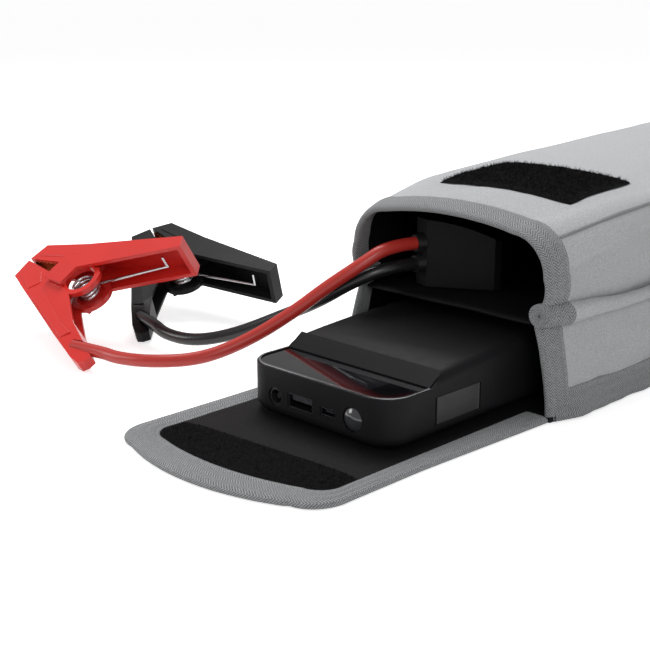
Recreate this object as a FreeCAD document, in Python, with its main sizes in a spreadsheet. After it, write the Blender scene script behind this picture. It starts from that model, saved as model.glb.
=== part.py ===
import FreeCAD, Part
import math
import os
import re
from FreeCAD import Placement, Rotation, Vector

# Jump starter pack: a fabric pouch with an open flap, the starter unit that
# lies on the flap, and a clamp box with two cables and two battery clamps.
# Origin: on the floor, under the middle of the pouch's mouth.
# X runs across the pouch, Y goes back into it, Z is up. Millimetres.

SIZES = {
    # Pouch
    "pouch_half_width": 57.0,
    "mouth_half_width": 50.5,
    "pouch_height": 86.0,
    "mouth_height": 76.5,
    "rear_height": 91.0,
    "pouch_depth": 250.0,
    "fabric_wall": 1.6,
    "base_thickness": 2.7,
    "base_flare": 3.0,
    "pinch_height": 42.0,
    "pinch_depth": 2.6,
    "crown_drop": 3.2,
    "mouth_corner_round": 17.0,
    "pouch_corner_round": 9.0,
    "top_panel_half_width": 40.0,
    "tape_thickness": 0.9,
    "mouth_tape_width": 10.0,
    "base_tape_height": 12.0,
    "ridge_thickness": 3.8,
    "ridge_proud": 4.2,
    "divider_thickness": 1.5,
    "divider_top": 38.0,
    "divider_setback": 3.0,
    "patch_thickness": 1.4,
    "patch_half_width": 34.0,
    "patch_shift": 3.5,
    "patch_front": 31.0,
    "patch_length": 46.0,
    "soft_gap": 0.3,
    # Flap
    "flap_half_width": 54.0,
    "flap_length": 136.8,
    "flap_bow": 8.6,
    "flap_skew": 2.2,
    "flap_bow_half_width": 40.0,
    "flap_corner_length": 16.5,
    "flap_tape_width": 11.0,
    "flap_tape_wrap": 0.5,
    "flap_panel_thickness": 2.45,
    "flap_trim_thickness": 0.35,
    "hook_setback": 18.0,
    "hook_length": 22.5,
    "hook_half_width": 40.0,
    "hook_corner_round": 9.0,
    # Starter unit
    "unit_side_shift": -1.0,
    "unit_reach": 74.0,
    "unit_floor": 3.0,
    "case_width": 76.0,
    "case_length": 150.0,
    "case_round": 12.0,
    "case_wall": 2.0,
    "case_bottom_round": 4.5,
    "case_top_round": 4.0,
    "seam_height": 16.0,
    "deck_height": 19.2,
    "deck_length": 23.5,
    "lip_run": 7.0,
    "lip_rise": 4.9,
    "crown_height": 27.0,
    "crown_y": 85.0,
    "rear_edge_height": 25.0,
    "roof_wall": 3.0,
    "roof_cavity_front": 36.0,
    "window_recess": 1.5,
    "window_inset": 1.45,
    "rim_inset": 0.5,
    "rim_proud": 0.5,
    "brow_thickness": 0.6,
    "brow_inset": 1.2,
    "fit_gap": 0.1,
    "lcd_width": 46.0,
    "lcd_depth": 13.0,
    "lcd_centre_y": 13.0,
    "display_board_thickness": 1.2,
    "display_board_drop": 3.8,
    "board_thickness": 1.4,
    "board_lift": 0.6,
    "board_inset": 6.0,
    "board_length": 50.0,
    "board_front": 5.5,
    "jack_x": -20.5,
    "jack_z": 8.0,
    "jack_hole": 7.6,
    "jack_body": 8.8,
    "jack_length": 13.0,
    "jack_bore": 5.5,
    "jack_pin": 2.1,
    "usb_a_x": -7.0,
    "usb_z": 8.6,
    "usb_a_width": 13.2,
    "usb_a_height": 5.8,
    "usb_a_length": 14.0,
    "usb_shell_wall": 0.5,
    "usb_tongue": 1.8,
    "micro_x": 7.7,
    "micro_width": 8.0,
    "micro_height": 3.1,
    "micro_length": 6.0,
    "lamp_x": 20.2,
    "lamp_z": 9.1,
    "lens_diameter": 9.4,
    "lens_flange": 11.4,
    "lens_dome": 1.7,
    "led_board_thickness": 1.6,
    "led_board_size": 7.0,
    "led_chip": 3.4,
    "socket_centre_y": 39.5,
    "socket_centre_z": 9.3,
    "socket_width": 19.0,
    "socket_height": 8.6,
    "socket_depth": 16.0,
    "contact_spacing": 10.0,
    "contact_diameter": 5.0,
    "contact_bore": 3.4,
    "cover_recess": 1.75,
    "cover_thickness": 1.5,
    "cover_front": 26.6,
    "cover_rear": 52.1,
    "cover_low": 4.9,
    "cover_high": 15.3,
    "cover_gap": 0.2,
    "cover_notch": 1.2,
    "bead_radius": 0.9,
    "port_boss_depth": 2.6,
    "button_y": 46.0,
    "button_z": 9.2,
    "button_length": 10.0,
    "button_height": 5.4,
    "button_proud": 0.8,
    "button_flange": 1.2,
    "button_travel": 0.6,
    "button_gap": 0.2,
    "switch_size": 6.0,
    "cell_width": 54.0,
    "cell_length": 84.0,
    "cell_thickness": 6.0,
    "cell_gap": 0.3,
    "cell_front": 58.0,
    "screw_x": 32.2,
    "screw_front": 61.0,
    "screw_rear": 139.0,
    "screw_diameter": 2.6,
    "screw_head": 4.6,
    "screw_head_height": 1.6,
    "screw_grip": 3.0,
    "post_diameter": 6.0,
    # Clamp box
    "box_corner_x": -22.5,
    "box_corner_y": 15.5,
    "box_floor": 38.3,
    "box_turn": 30.0,
    "box_face": 29.0,
    "box_left_bevel": 5.3,
    "box_right_bevel": 2.5,
    "box_depth": 36.0,
    "box_height_left": 29.2,
    "box_height_mid": 27.2,
    "box_height_right": 20.5,
    "box_split": 18.0,
    "box_wall": 2.4,
    "box_cavity_width": 24.0,
    "box_cavity_height": 15.6,
    "box_screw_inset": 3.4,
    "box_screw_diameter": 2.4,
    "box_screw_low": 5.0,
    "box_screw_high": 14.0,
    "relay_size": 14.0,
    "relay_height": 11.0,
    "plug_width": 19.5,
    "plug_height": 9.0,
    "plug_length": 19.0,
    "plug_x": 13.0,
    "plug_z": 13.0,
    "grommet_diameter": 8.8,
    "grommet_length": 3.6,
    "grommet_neck": 6.4,
    "red_grommet_z": 18.7,
    "black_grommet_z": 9.7,
    # Cables
    "cable_diameter": 5.6,
    "first_run": 14.0,
    "last_run": 16.0,
    "cable_hole_gap": 0.25,
    "cable_seat_x": 28.5,
    "cable_seat_y": 31.2,
    "cable_seat_z": 3.0,
    # Clamps, in each clamp's own frame: X from jaws to handles along the middle,
    # Y towards the upper arm, Z along the pivot
    "jaw_tip": 42.0,
    "jaw_lift": 0.6,
    "nose_slant": 1.6,
    "nose_height": 10.9,
    "lower_nose_height": 11.4,
    "back_slope": 0.345,
    "back_wall": 2.3,
    "end_wall": 2.0,
    "handle_reach": 37.6,
    "handle_slant": 4.0,
    "handle_end_depth": 5.6,
    "grip_edge_x": 5.0,
    "grip_edge_y": 3.4,
    "mouth_back": 18.0,
    "mouth_rise": 5.2,
    "lower_mouth_rise": 2.4,
    "lug_front": 18.0,
    "lug_reach": 7.3,
    "lug_height": 9.2,
    "far_lug_rear": 3.0,
    "width_step": 12.0,
    "upper_width": 18.8,
    "lower_width": 13.0,
    "cheek_wall": 1.9,
    "cheek_bevel_drop": 3.4,
    "cheek_bevel_width": 2.7,
    "lower_cheek_wall": 1.5,
    "tail_start": 20.0,
    "tail_taper": 23.0,
    "tail_reach": 42.0,
    "tail_width": 4.8,
    "hoop_radius": 9.9,
    "hoop_bore": 8.4,
    "hoop_length": 2.5,
    "ring_clearance": 0.06,
    "ring_bore": 7.2,
    "jaw_front": 39.2,
    "jaw_rear": 23.5,
    "jaw_gap": 0.25,
    "jaw_rear_gap": 3.3,
    "jaw_body": 3.4,
    "tooth_count": 6.0,
    "tooth_height": 1.1,
    "strap_thickness": 0.8,
    "strap_width": 4.4,
    "coil_radius": 5.4,
    "coil_wire": 1.3,
    "coil_turns": 3.0,
    "coil_pitch": 1.9,
    "upper_leg_angle": 36.0,
    "upper_leg": 40.3,
    "lower_leg_angle": 48.4,
    "lower_leg": 28.7,
    "leg_hook": 6.0,
}

# Middle points of the two cables' routes, from the clamp box out to the clamps
ROUTES = {
    "red": [
        (-35.5, -10.5, 50.5), (-45.8, -21.5, 40.5), (-54.5, -32.5, 30.0), (-65.6, -48.0, 18.8),
        (-77.0, -64.5, 11.6), (-93.4, -78.0, 9.8), (-111.6, -82.5, 8.5),
    ],
    "black": [
        (-40.5, -11.5, 42.0), (-54.0, -18.0, 32.0), (-72.0, -24.0, 23.0), (-90.0, -33.5, 13.5),
        (-106.5, -43.5, 8.8), (-126.0, -45.0, 8.3),
    ],
}

# Each clamp's pivot point, how its frame is turned (yaw, pitch, roll), and which
# way its cable leaves its tail, in the clamp's own frame
CLAMPS = {
    "red": ((-164.5, -60.0, 25.8), (0.0, 3.0, 33.5), (0.954, 0.25, -0.15)),
    "black": ((-168.2, -0.8, 22.1), (-18.7, 13.5, 15.8), (0.96, 0.16, 0.22)),
}

doc = FreeCAD.newDocument("jump_starter_pack")
sheet = doc.addObject("Spreadsheet::Sheet", "sizes")
for row, (word, value) in enumerate(SIZES.items(), start=1):
    sheet.set(f"A{row}", word)
    sheet.set(f"B{row}", str(value))
    sheet.setAlias(f"B{row}", word)
doc.recompute()


class Cells:
    """Reads a size from the spreadsheet by its name."""

    def __getattr__(self, word):
        return float(sheet.get(word))


c = Cells()
parts = {}


def bind(piece, target, rule):
    """Binds a property to a rule written with the sheet's names."""
    words = re.sub(r"[a-z][a-z_]*", lambda m: "sizes." + m.group() if m.group() in SIZES else m.group(), rule)
    piece.setExpression(target, words)


def place(piece, at, turn=None):
    """Places a piece; a coordinate given as a rule is bound to the sheet."""
    numbers = [0.0 if isinstance(a, str) else a for a in at]
    piece.Placement = Placement(Vector(*numbers), turn or Rotation())
    for axis, rule in zip("xyz", at):
        if isinstance(rule, str):
            bind(piece, f"Placement.Base.{axis}", rule)
    return piece


def primitive(kind, name, at, turn=None, **rules):
    piece = doc.addObject("Part::" + kind, name)
    for target, rule in rules.items():
        bind(piece, target, rule)
    return place(piece, at, turn)


def box(name, at, x, y, z):
    return primitive("Box", name, at, Length=x, Width=y, Height=z)


def cylinder(name, at, radius, height, turn=None):
    return primitive("Cylinder", name, at, turn, Radius=radius, Height=height)


def cut(name, base, tool):
    piece = doc.addObject("Part::Cut", name)
    piece.Base = base
    piece.Tool = tool
    return piece


def fuse(name, pieces):
    piece = doc.addObject("Part::MultiFuse", name)
    piece.Shapes = pieces
    piece.Refine = True
    return piece


def group(name, pieces):
    piece = doc.addObject("Part::Compound", name)
    piece.Links = pieces
    return piece


def shaped(name, shape, at=(0, 0, 0), turn=None):
    """A sub-part whose shape has no primitive: fabric, cable or wire."""
    piece = doc.addObject("Part::Feature", name)
    piece.Shape = shape
    return place(piece, at, turn)


def keep(name, piece):
    """Registers a finished sub-part under the name of its file."""
    piece.Label = name
    parts[name] = piece
    return piece


X_AXIS = Vector(1, 0, 0)
Y_AXIS = Vector(0, 1, 0)
ALONG_X = Rotation(Y_AXIS, 90)
ALONG_Y = Rotation(X_AXIS, -90)


# Sketched bodies

def lines(start, *steps):
    """Sketch geometry from a start point; a step is a point, or an arc as (middle, end)."""
    made = []
    here = Vector(*start, 0)
    for step in steps:
        if isinstance(step[0], tuple):
            middle, end = (Vector(*p, 0) for p in step)
            made.append(Part.Arc(here, middle, end))
        else:
            end = Vector(*step, 0)
            made.append(Part.LineSegment(here, end))
        here = end
    return made


def rounded_rect(x0, x1, y0, y1, radius):
    k = radius * (1 - math.sqrt(0.5))
    return lines(
        (x0 + radius, y0), (x1 - radius, y0), ((x1 - k, y0 + k), (x1, y0 + radius)),
        (x1, y1 - radius), ((x1 - k, y1 - k), (x1 - radius, y1)),
        (x0 + radius, y1), ((x0 + k, y1 - k), (x0, y1 - radius)),
        (x0, y0 + radius), ((x0 + k, y0 + k), (x0 + radius, y0)),
    )


def circle(x, y, radius):
    return [Part.Circle(Vector(x, y, 0), Vector(0, 0, 1), radius)]


def new_body(name):
    return doc.addObject("PartDesign::Body", name)


def sketch(body, name, plane, geometry, height="0"):
    """A sketch on one of the body's own planes, moved along its normal by a rule."""
    made = body.newObject("Sketcher::SketchObject", name)
    flat = [f for f in body.Origin.OriginFeatures if f.Role == plane][0]
    made.AttachmentSupport = [(flat, "")]
    made.MapMode = "FlatFace"
    bind(made, "AttachmentOffset.Base.z", height)
    made.addGeometry(geometry, False)
    return made


def pad(body, name, profile, length, both=False):
    made = body.newObject("PartDesign::Pad", name)
    made.Profile = profile
    bind(made, "Length", length)
    made.Midplane = both
    doc.recompute()
    return made


def pocket(body, name, profile, length, up=False, through=False):
    """Cuts against the sketch's normal, or along it when up is set."""
    before = body.Shape.Volume
    made = body.newObject("PartDesign::Pocket", name)
    made.Profile = profile
    bind(made, "Length", length)
    made.Reversed = up
    if through:
        made.Midplane = True
    doc.recompute()
    if not body.Shape.Volume < before - 0.01:
        raise RuntimeError(name + " cuts nothing")
    return made


def fillet(body, name, radius, chosen):
    base = body.Tip
    picked = [f"Edge{i}" for i, e in enumerate(base.Shape.Edges, start=1) if chosen(e)]
    made = body.newObject("PartDesign::Fillet", name)
    made.Base = (base, picked)
    bind(made, "Radius", radius)
    doc.recompute()
    return made


def low(edge):
    return edge.BoundBox.ZMax < 0.01


# Pouch

def stations():
    """Sections of the pouch from mouth to rear: y, half width, height, corner round."""
    w, h = c.pouch_half_width, c.pouch_height
    mouth_w, mouth_h = c.mouth_half_width, c.mouth_height
    r0, r1 = c.mouth_corner_round, c.pouch_corner_round
    end = c.pouch_depth
    return [
        (-2.0, mouth_w, mouth_h, r0),
        (0.0, mouth_w, mouth_h, r0),
        (12.0, mouth_w + 0.45 * (w - mouth_w), mouth_h + 0.3 * (h - mouth_h), r0),
        (45.0, w, h - 2.5, 1.5 * r1),
        (0.45 * end, w, h, r1),
        (end - 15.0, w, c.rear_height, r1),
        (end, w - 1.5, c.rear_height - 1.5, r1),
    ]


def section(y, half, height, corner, out):
    """The two-lobed outline of the pouch at one station, moved outwards by out."""
    side = half + out
    top = height - c.crown_drop + out
    waist = side - c.pinch_depth
    r = corner + out
    k = r * (1 - math.sqrt(0.5))
    foot = min(half + c.base_flare, c.pouch_half_width - 0.5) + out
    base = c.base_thickness
    right = [
        ((side, 0.55 * c.pinch_height), (waist, c.pinch_height)),
        ((side, 0.5 * (c.pinch_height + top - r)), (side - 0.8, top - r)),
        ((side - 0.8 - k, top - k), (side - 0.8 - r, top)),
    ]
    crown = height + out
    here = Vector(foot, y, base)
    start = here
    edges = []

    def arc_to(middle, end):
        nonlocal here
        goal = Vector(end[0], y, end[1])
        edges.append(Part.Arc(here, Vector(middle[0], y, middle[1]), goal).toShape())
        here = goal

    for middle, end in right:
        arc_to(middle, end)
    arc_to((0.0, crown), (-(side - 0.8 - r), top))
    ends = [(foot, base)] + [end for _, end in right]
    for (middle, _), end in zip(reversed(right), reversed(ends[:-1])):
        arc_to((-middle[0], middle[1]), (-end[0], end[1]))
    edges.append(Part.LineSegment(here, start).toShape())
    return Part.Wire(edges)


def hull(out, rear=0.0):
    """The pouch's closed form, moved outwards by out and ending rear short of its end."""
    rows = stations()
    last = rows[-1]
    rows[-1] = (last[0] - rear,) + last[1:]
    wires = [section(y, half, height, corner, out) for y, half, height, corner in rows]
    return Part.makeLoft(wires, True, True)


def region(x0, x1, y0, y1, z0, z1):
    return Part.makeBox(x1 - x0, y1 - y0, z1 - z0, Vector(x0, y0, z0))


FAR = 400.0


def make_pouch():
    wall = c.fabric_wall
    outer = hull(0.0)
    inner = hull(-wall, wall)
    shell = outer.cut(inner)
    end_y = c.pouch_depth - wall
    base = c.base_thickness
    half = c.top_panel_half_width

    foot = c.pouch_half_width - 0.5 + c.tape_thickness
    mouth_foot = min(c.mouth_half_width + c.base_flare, c.pouch_half_width - 0.5) + c.tape_thickness
    front = c.soft_gap
    body = new_body("base_body")
    plan = sketch(body, "base_plan", "XY_Plane", lines(
        (-mouth_foot, -front), (mouth_foot, -front), (foot, 45), (foot, c.pouch_depth - 15),
        (foot - 1.5, c.pouch_depth), (-foot + 1.5, c.pouch_depth), (-foot, c.pouch_depth - 15),
        (-foot, 45), (-mouth_foot, -front),
    ))
    pad(body, "base_pad", plan, "base_thickness")
    keep("base_panel", body)

    walls = shell.common(region(-FAR, FAR, 0, end_y, base, FAR))
    keep("top_panel", shaped("top_shape", walls.common(region(-half, half, 0, end_y, c.pinch_height, FAR))))
    for name, x0, x1 in (("left_gusset", -FAR, -half), ("right_gusset", half, FAR)):
        keep(name, shaped(name + "_shape", walls.common(region(x0, x1, 0, end_y, base, FAR))))
    keep("end_panel", shaped("end_shape", outer.common(region(-FAR, FAR, end_y, FAR, base, FAR))))

    divider_low = c.divider_top - c.divider_thickness
    slab = region(-FAR, FAR, c.divider_setback, end_y, divider_low, c.divider_top)
    tape = c.tape_thickness
    skin = hull(tape).cut(outer)
    ridge_low = c.pinch_height - c.ridge_thickness / 2
    ridge_high = c.pinch_height + c.ridge_thickness / 2
    ridge_skin = hull(c.ridge_proud).cut(outer)
    tape_end = c.mouth_tape_width
    for side, x0, x1 in (("left", -FAR, -half), ("right", half, FAR)):
        strip = skin.common(region(x0, x1, tape_end, end_y, base, c.base_tape_height))
        keep(side + "_base_tape", shaped(side + "_base_tape_shape", strip))
        fold = ridge_skin.common(region(x0, x1, tape_end, end_y, ridge_low, ridge_high))
        keep(side + "_side_ridge", shaped(side + "_ridge_shape", fold))

    low_edge = base + c.soft_gap
    ring = hull(tape).cut(hull(-wall - tape)).common(region(-FAR, FAR, -tape, tape_end, low_edge, FAR))
    keep("mouth_binding", shaped("mouth_shape", ring.cut(walls)))
    keep("divider_panel", shaped("divider_shape", inner.common(slab).cut(ring)))

    patch = hull(c.patch_thickness).cut(outer)
    patch_rear = c.patch_front + c.patch_length
    spot = region(c.patch_shift - c.patch_half_width, c.patch_shift + c.patch_half_width, c.patch_front, patch_rear, c.pinch_height, FAR)
    keep("loop_patch", shaped("patch_shape", patch.common(spot)))


# Flap

def flap_outline(inset, rear):
    """The flap seen from above: straight sides, round corners, a bowed front edge."""
    side = c.flap_half_width - inset
    front = -c.flap_length + inset
    bow_x = c.flap_bow_half_width - 0.5 * inset
    bow_y = front + c.flap_bow - 0.3 * inset
    corner_y = bow_y + c.flap_corner_length - 0.5 * inset
    mid_x = side - 0.3 * (side - bow_x)
    mid_y = bow_y + 0.26 * (corner_y - bow_y)
    skew = c.flap_skew
    return lines(
        (-side, -rear), (-side, corner_y - skew), ((-mid_x, mid_y - skew), (-bow_x, bow_y - skew)),
        ((0, front), (bow_x, bow_y + skew)), ((mid_x, mid_y + skew), (side, corner_y + skew)), (side, -rear),
        (-side, -rear),
    )


def make_flap():
    body = new_body("flap_panel_body")
    plan = sketch(body, "flap_plan", "XY_Plane", flap_outline(c.flap_tape_wrap, 2 * c.soft_gap))
    pad(body, "flap_pad", plan, "flap_panel_thickness")
    keep("flap_panel", body)

    rear = 1.5
    body = new_body("flap_binding_body")
    wide = sketch(body, "tape_plan", "XY_Plane", flap_outline(0.0, rear), "soft_gap")
    pad(body, "tape_pad", wide, "flap_panel_thickness + flap_trim_thickness - soft_gap")
    high = "flap_panel_thickness + flap_trim_thickness + 1"
    middle = sketch(body, "tape_window", "XY_Plane", flap_outline(c.flap_tape_width, 0.0), high)
    pocket(body, "tape_opening", middle, "flap_panel_thickness + flap_trim_thickness + 1")
    under = sketch(body, "tape_seat", "XY_Plane", flap_outline(c.flap_tape_wrap, 0.0), "flap_panel_thickness")
    pocket(body, "tape_seating", under, "flap_panel_thickness")
    keep("flap_binding", body)

    x = c.hook_half_width
    y0 = c.hook_setback - c.flap_length
    y1 = y0 + c.hook_length
    r = c.hook_corner_round
    k = r * (1 - math.sqrt(0.5))
    body = new_body("hook_strip_body")
    plan = sketch(body, "hook_plan", "XY_Plane", lines(
        (-x + r, y0), (x - r, y0), ((x - k, y0 + k), (x, y0 + r)), (x, y1), (-x, y1), (-x, y0 + r),
        ((-x + k, y0 + k), (-x + r, y0)),
    ), "flap_panel_thickness")
    pad(body, "hook_pad", plan, "flap_trim_thickness")
    keep("hook_strip", body)


# Starter unit, in its own frame: X across, Y back from its front face, Z up from its underside

def seat_unit(piece):
    return place(piece, ("unit_side_shift", "-unit_reach", "unit_floor"))


def case_plan(inset, front=0.0):
    half = c.case_width / 2 - inset
    return rounded_rect(-half, half, inset + front, c.case_length - inset, max(c.case_round - inset, 1.0))


def screw_spots():
    return [(x, y) for x in (-c.screw_x, c.screw_x) for y in (c.screw_front, c.screw_rear)]


def make_lower_case():
    body = new_body("lower_case_body")
    half = c.case_width / 2
    pad(body, "lower_pad", sketch(body, "lower_plan", "XY_Plane", case_plan(0.0)), "seam_height")
    fillet(body, "lower_round", "case_bottom_round", low)
    inside = sketch(body, "lower_inside", "XY_Plane", case_plan(c.case_wall), "seam_height")
    pocket(body, "lower_cavity", inside, "seam_height - case_wall")

    boss_x = half - c.cover_recess
    front, rear = c.cover_front - c.cover_notch, c.cover_rear
    plan = sketch(body, "port_boss_plan", "XY_Plane", lines(
        (boss_x - c.port_boss_depth, front - 1), (half - 1, front - 1), (half - 1, rear + 2),
        (boss_x - c.port_boss_depth, rear + 2), (boss_x - c.port_boss_depth, front - 1),
    ), "case_wall - 0.1")
    pad(body, "port_boss", plan, "seam_height - case_wall + 0.1")

    posts = [g for x, y in screw_spots() for g in circle(x, y, c.post_diameter / 2)]
    pad(body, "screw_posts", sketch(body, "post_plan", "XY_Plane", posts, "case_wall - 0.1"),
        "seam_height - case_wall + 0.1")
    edge = c.case_width / 2 - c.board_inset - 4
    feet = [g for x in (-edge, 0, edge) for y in (c.board_front + 5, c.board_front + c.board_length - 5)
            for g in circle(x, y, 2.5)]
    pad(body, "board_feet", sketch(body, "feet_plan", "XY_Plane", feet, "case_wall - 0.1"), "board_lift + 0.1")

    holes = [g for x, y in screw_spots() for g in circle(x, y, c.screw_diameter / 2 + c.fit_gap)]
    pocket(body, "screw_holes", sketch(body, "hole_plan", "XY_Plane", holes, "seam_height"), "seam_height + 1")
    heads = [g for x, y in screw_spots() for g in circle(x, y, c.screw_head / 2 + c.fit_gap)]
    pocket(body, "screw_sinks", sketch(body, "sink_plan", "XY_Plane", heads), "screw_head_height + 0.3", up=True)

    # Front openings: power inlet, two charging ports and the lamp
    gap = c.fit_gap
    front_holes = (
        circle(c.jack_x, c.jack_z, c.jack_hole / 2)
        + rounded_rect(c.usb_a_x - c.usb_a_width / 2 - gap, c.usb_a_x + c.usb_a_width / 2 + gap,
                       c.usb_z - c.usb_a_height / 2 - gap, c.usb_z + c.usb_a_height / 2 + gap, 0.2)
        + rounded_rect(c.micro_x - c.micro_width / 2 - gap, c.micro_x + c.micro_width / 2 + gap,
                       c.usb_z - c.micro_height / 2 - gap, c.usb_z + c.micro_height / 2 + gap, 0.2)
        + circle(c.lamp_x, c.lamp_z, c.lens_diameter / 2 + gap)
    )
    pocket(body, "front_openings", sketch(body, "front_plan", "XZ_Plane", front_holes), "case_wall + 0.5")

    # Side recess for the port cover, its bead's groove and the socket's opening
    recess = sketch(body, "recess_plan", "YZ_Plane", lines(
        (front, c.cover_low - c.cover_gap), (rear + c.cover_gap, c.cover_low - c.cover_gap),
        (rear + c.cover_gap, c.cover_high + c.cover_gap), (front, c.cover_high + c.cover_gap),
        (front, c.cover_low - c.cover_gap),
    ), "case_width / 2")
    pocket(body, "cover_recess_cut", recess, "cover_recess")
    mid_y, mid_z = c.socket_centre_y, c.socket_centre_z
    opening = sketch(body, "socket_opening", "YZ_Plane", lines(
        (mid_y - c.socket_width / 2 - gap, mid_z - c.socket_height / 2 - gap),
        (mid_y + c.socket_width / 2 + gap, mid_z - c.socket_height / 2 - gap),
        (mid_y + c.socket_width / 2 + gap, mid_z + c.socket_height / 2 + gap),
        (mid_y - c.socket_width / 2 - gap, mid_z + c.socket_height / 2 + gap),
        (mid_y - c.socket_width / 2 - gap, mid_z - c.socket_height / 2 - gap),
    ), "case_width / 2")
    pocket(body, "socket_cut", opening, "cover_recess + port_boss_depth + case_wall")

    reach = c.button_gap
    slot = sketch(body, "button_opening", "YZ_Plane", rounded_rect(
        c.button_y - c.button_length / 2 - reach, c.button_y + c.button_length / 2 + reach,
        c.button_z - c.button_height / 2 - reach, c.button_z + c.button_height / 2 + reach,
        c.button_height / 2 - 0.1), "-case_width / 2")
    pocket(body, "button_cut", slot, "case_wall + 0.5", up=True)
    keep("lower_case", seat_unit(body))


def make_upper_case():
    body = new_body("upper_case_body")
    pad(body, "upper_pad", sketch(body, "upper_plan", "XY_Plane", case_plan(0.0), "seam_height"),
        "crown_height + 2 - seam_height")
    deck_y, deck_z = c.deck_length, c.deck_height
    lip_y, lip_z = deck_y + c.lip_run, deck_z + c.lip_rise
    rear = c.case_length
    over = c.crown_height + 6
    profile = sketch(body, "roof_line", "YZ_Plane", lines(
        (-2, deck_z), (deck_y, deck_z), (lip_y, lip_z), ((c.crown_y, c.crown_height), (rear + 2, c.rear_edge_height)),
        (rear + 2, over), (-2, over), (-2, deck_z),
    ))
    pocket(body, "roof_cut", profile, "case_width + 4", through=True)

    def roof_edge(edge):
        mid = edge.valueAt(0.5 * (edge.FirstParameter + edge.LastParameter))
        outside = abs(mid.x) > c.case_width / 2 - c.case_round + 0.5 or mid.y > rear - 0.5
        return outside and mid.y > lip_y + 0.5 and mid.z > c.rear_edge_height - 2.5

    fillet(body, "roof_round", "case_top_round", roof_edge)

    inset = c.rim_inset
    half = c.case_width / 2 - inset
    r = c.case_round - inset
    k = r * (1 - math.sqrt(0.5))
    recess = sketch(body, "window_seat", "XY_Plane", lines(
        (-half, deck_y - 0.2), (-half, inset + r), ((-half + k, inset + k), (-half + r, inset)),
        (half - r, inset), ((half - k, inset + k), (half, inset + r)), (half, deck_y - 0.2), (-half, deck_y - 0.2),
    ), "deck_height")
    pocket(body, "window_recess_cut", recess, "window_recess")

    x, y = c.lcd_width / 2 + c.fit_gap, c.lcd_depth / 2 + c.fit_gap
    mid = c.lcd_centre_y
    opening = sketch(body, "lcd_opening", "XY_Plane", lines(
        (-x, mid - y), (x, mid - y), (x, mid + y), (-x, mid + y), (-x, mid - y)), "deck_height")
    pocket(body, "lcd_cut", opening, "deck_height - seam_height + 1")

    wall = c.case_wall
    inside = c.case_width / 2 - wall
    r = c.case_round - wall
    k = r * (1 - math.sqrt(0.5))
    back = c.case_length - wall
    front = c.roof_cavity_front
    cavity = sketch(body, "roof_inside", "XY_Plane", lines(
        (-inside, front), (inside, front), (inside, back - r), ((inside - k, back - k), (inside - r, back)),
        (-inside + r, back), ((-inside + k, back - k), (-inside, back - r)), (-inside, front),
    ), "seam_height")
    pocket(body, "roof_cavity", cavity, "rear_edge_height - roof_wall - seam_height", up=True)
    lift = c.seam_height
    posts = [g for x, y in screw_spots() for g in circle(x, y, c.post_diameter / 2)]
    pad(body, "roof_posts", sketch(body, "roof_post_plan", "XY_Plane", posts, "seam_height"),
        "rear_edge_height - roof_wall - seam_height + 0.2")
    holes = [g for x, y in screw_spots() for g in circle(x, y, c.screw_diameter / 2 + c.fit_gap)]
    pocket(body, "roof_holes", sketch(body, "roof_hole_plan", "XY_Plane", holes, "seam_height"),
           "screw_grip + 0.5", up=True)
    keep("upper_case", seat_unit(body))


def deck_outline(inset, rear_inset):
    """The front of the deck: three sides of the case's plan, closed by a straight rear edge."""
    half = c.case_width / 2 - inset
    r = c.case_round - inset
    k = r * (1 - math.sqrt(0.5))
    back = c.deck_length - rear_inset
    return lines(
        (-half, back), (-half, inset + r), ((-half + k, inset + k), (-half + r, inset)), (half - r, inset),
        ((half - k, inset + k), (half, inset + r)), (half, back), (-half, back),
    )


def make_display():
    gap = c.fit_gap
    body = new_body("window_body")
    plan = sketch(body, "window_plan", "XY_Plane", deck_outline(c.window_inset + gap / 2, 0.5),
                  "deck_height - window_recess")
    pad(body, "window_pad", plan, "window_recess")
    keep("display_window", seat_unit(body))

    body = new_body("rim_body")
    wide = sketch(body, "rim_plan", "XY_Plane", deck_outline(c.rim_inset + gap / 2, 0.5),
                  "deck_height - window_recess")
    pad(body, "rim_pad", wide, "window_recess + rim_proud")
    inner = sketch(body, "rim_inside", "XY_Plane", deck_outline(c.window_inset, -5.0), "deck_height + 2")
    pocket(body, "rim_cut", inner, "window_recess + 3")
    keep("display_rim", seat_unit(body))

    run, rise = c.lip_run, c.lip_rise
    long = math.hypot(run, rise)
    ny, nz = -rise / long * c.brow_thickness, run / long * c.brow_thickness
    y0, z0 = c.deck_length, c.deck_height
    body = new_body("brow_body")
    side = sketch(body, "brow_side", "YZ_Plane", lines(
        (y0, z0), (y0 + run, z0 + rise), (y0 + run + ny, z0 + rise + nz), (y0 + ny, z0 + nz), (y0, z0)))
    pad(body, "brow_pad", side, "case_width - 2 * brow_inset", both=True)
    keep("brow_panel", seat_unit(body))

    glass = box("lcd_glass", ("-lcd_width / 2", "lcd_centre_y - lcd_depth / 2",
                              "deck_height - window_recess - display_board_drop"),
                "lcd_width", "lcd_depth", "display_board_drop")
    keep("lcd_module", seat_unit(group("lcd_group", [glass])))
    board = box("display_pcb", ("-lcd_width / 2 - 3", "lcd_centre_y - lcd_depth / 2 - 1",
                                "deck_height - window_recess - display_board_drop - display_board_thickness"),
                "lcd_width + 6", "lcd_depth + 2", "display_board_thickness")
    keep("display_board", seat_unit(group("display_board_group", [board])))


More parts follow.
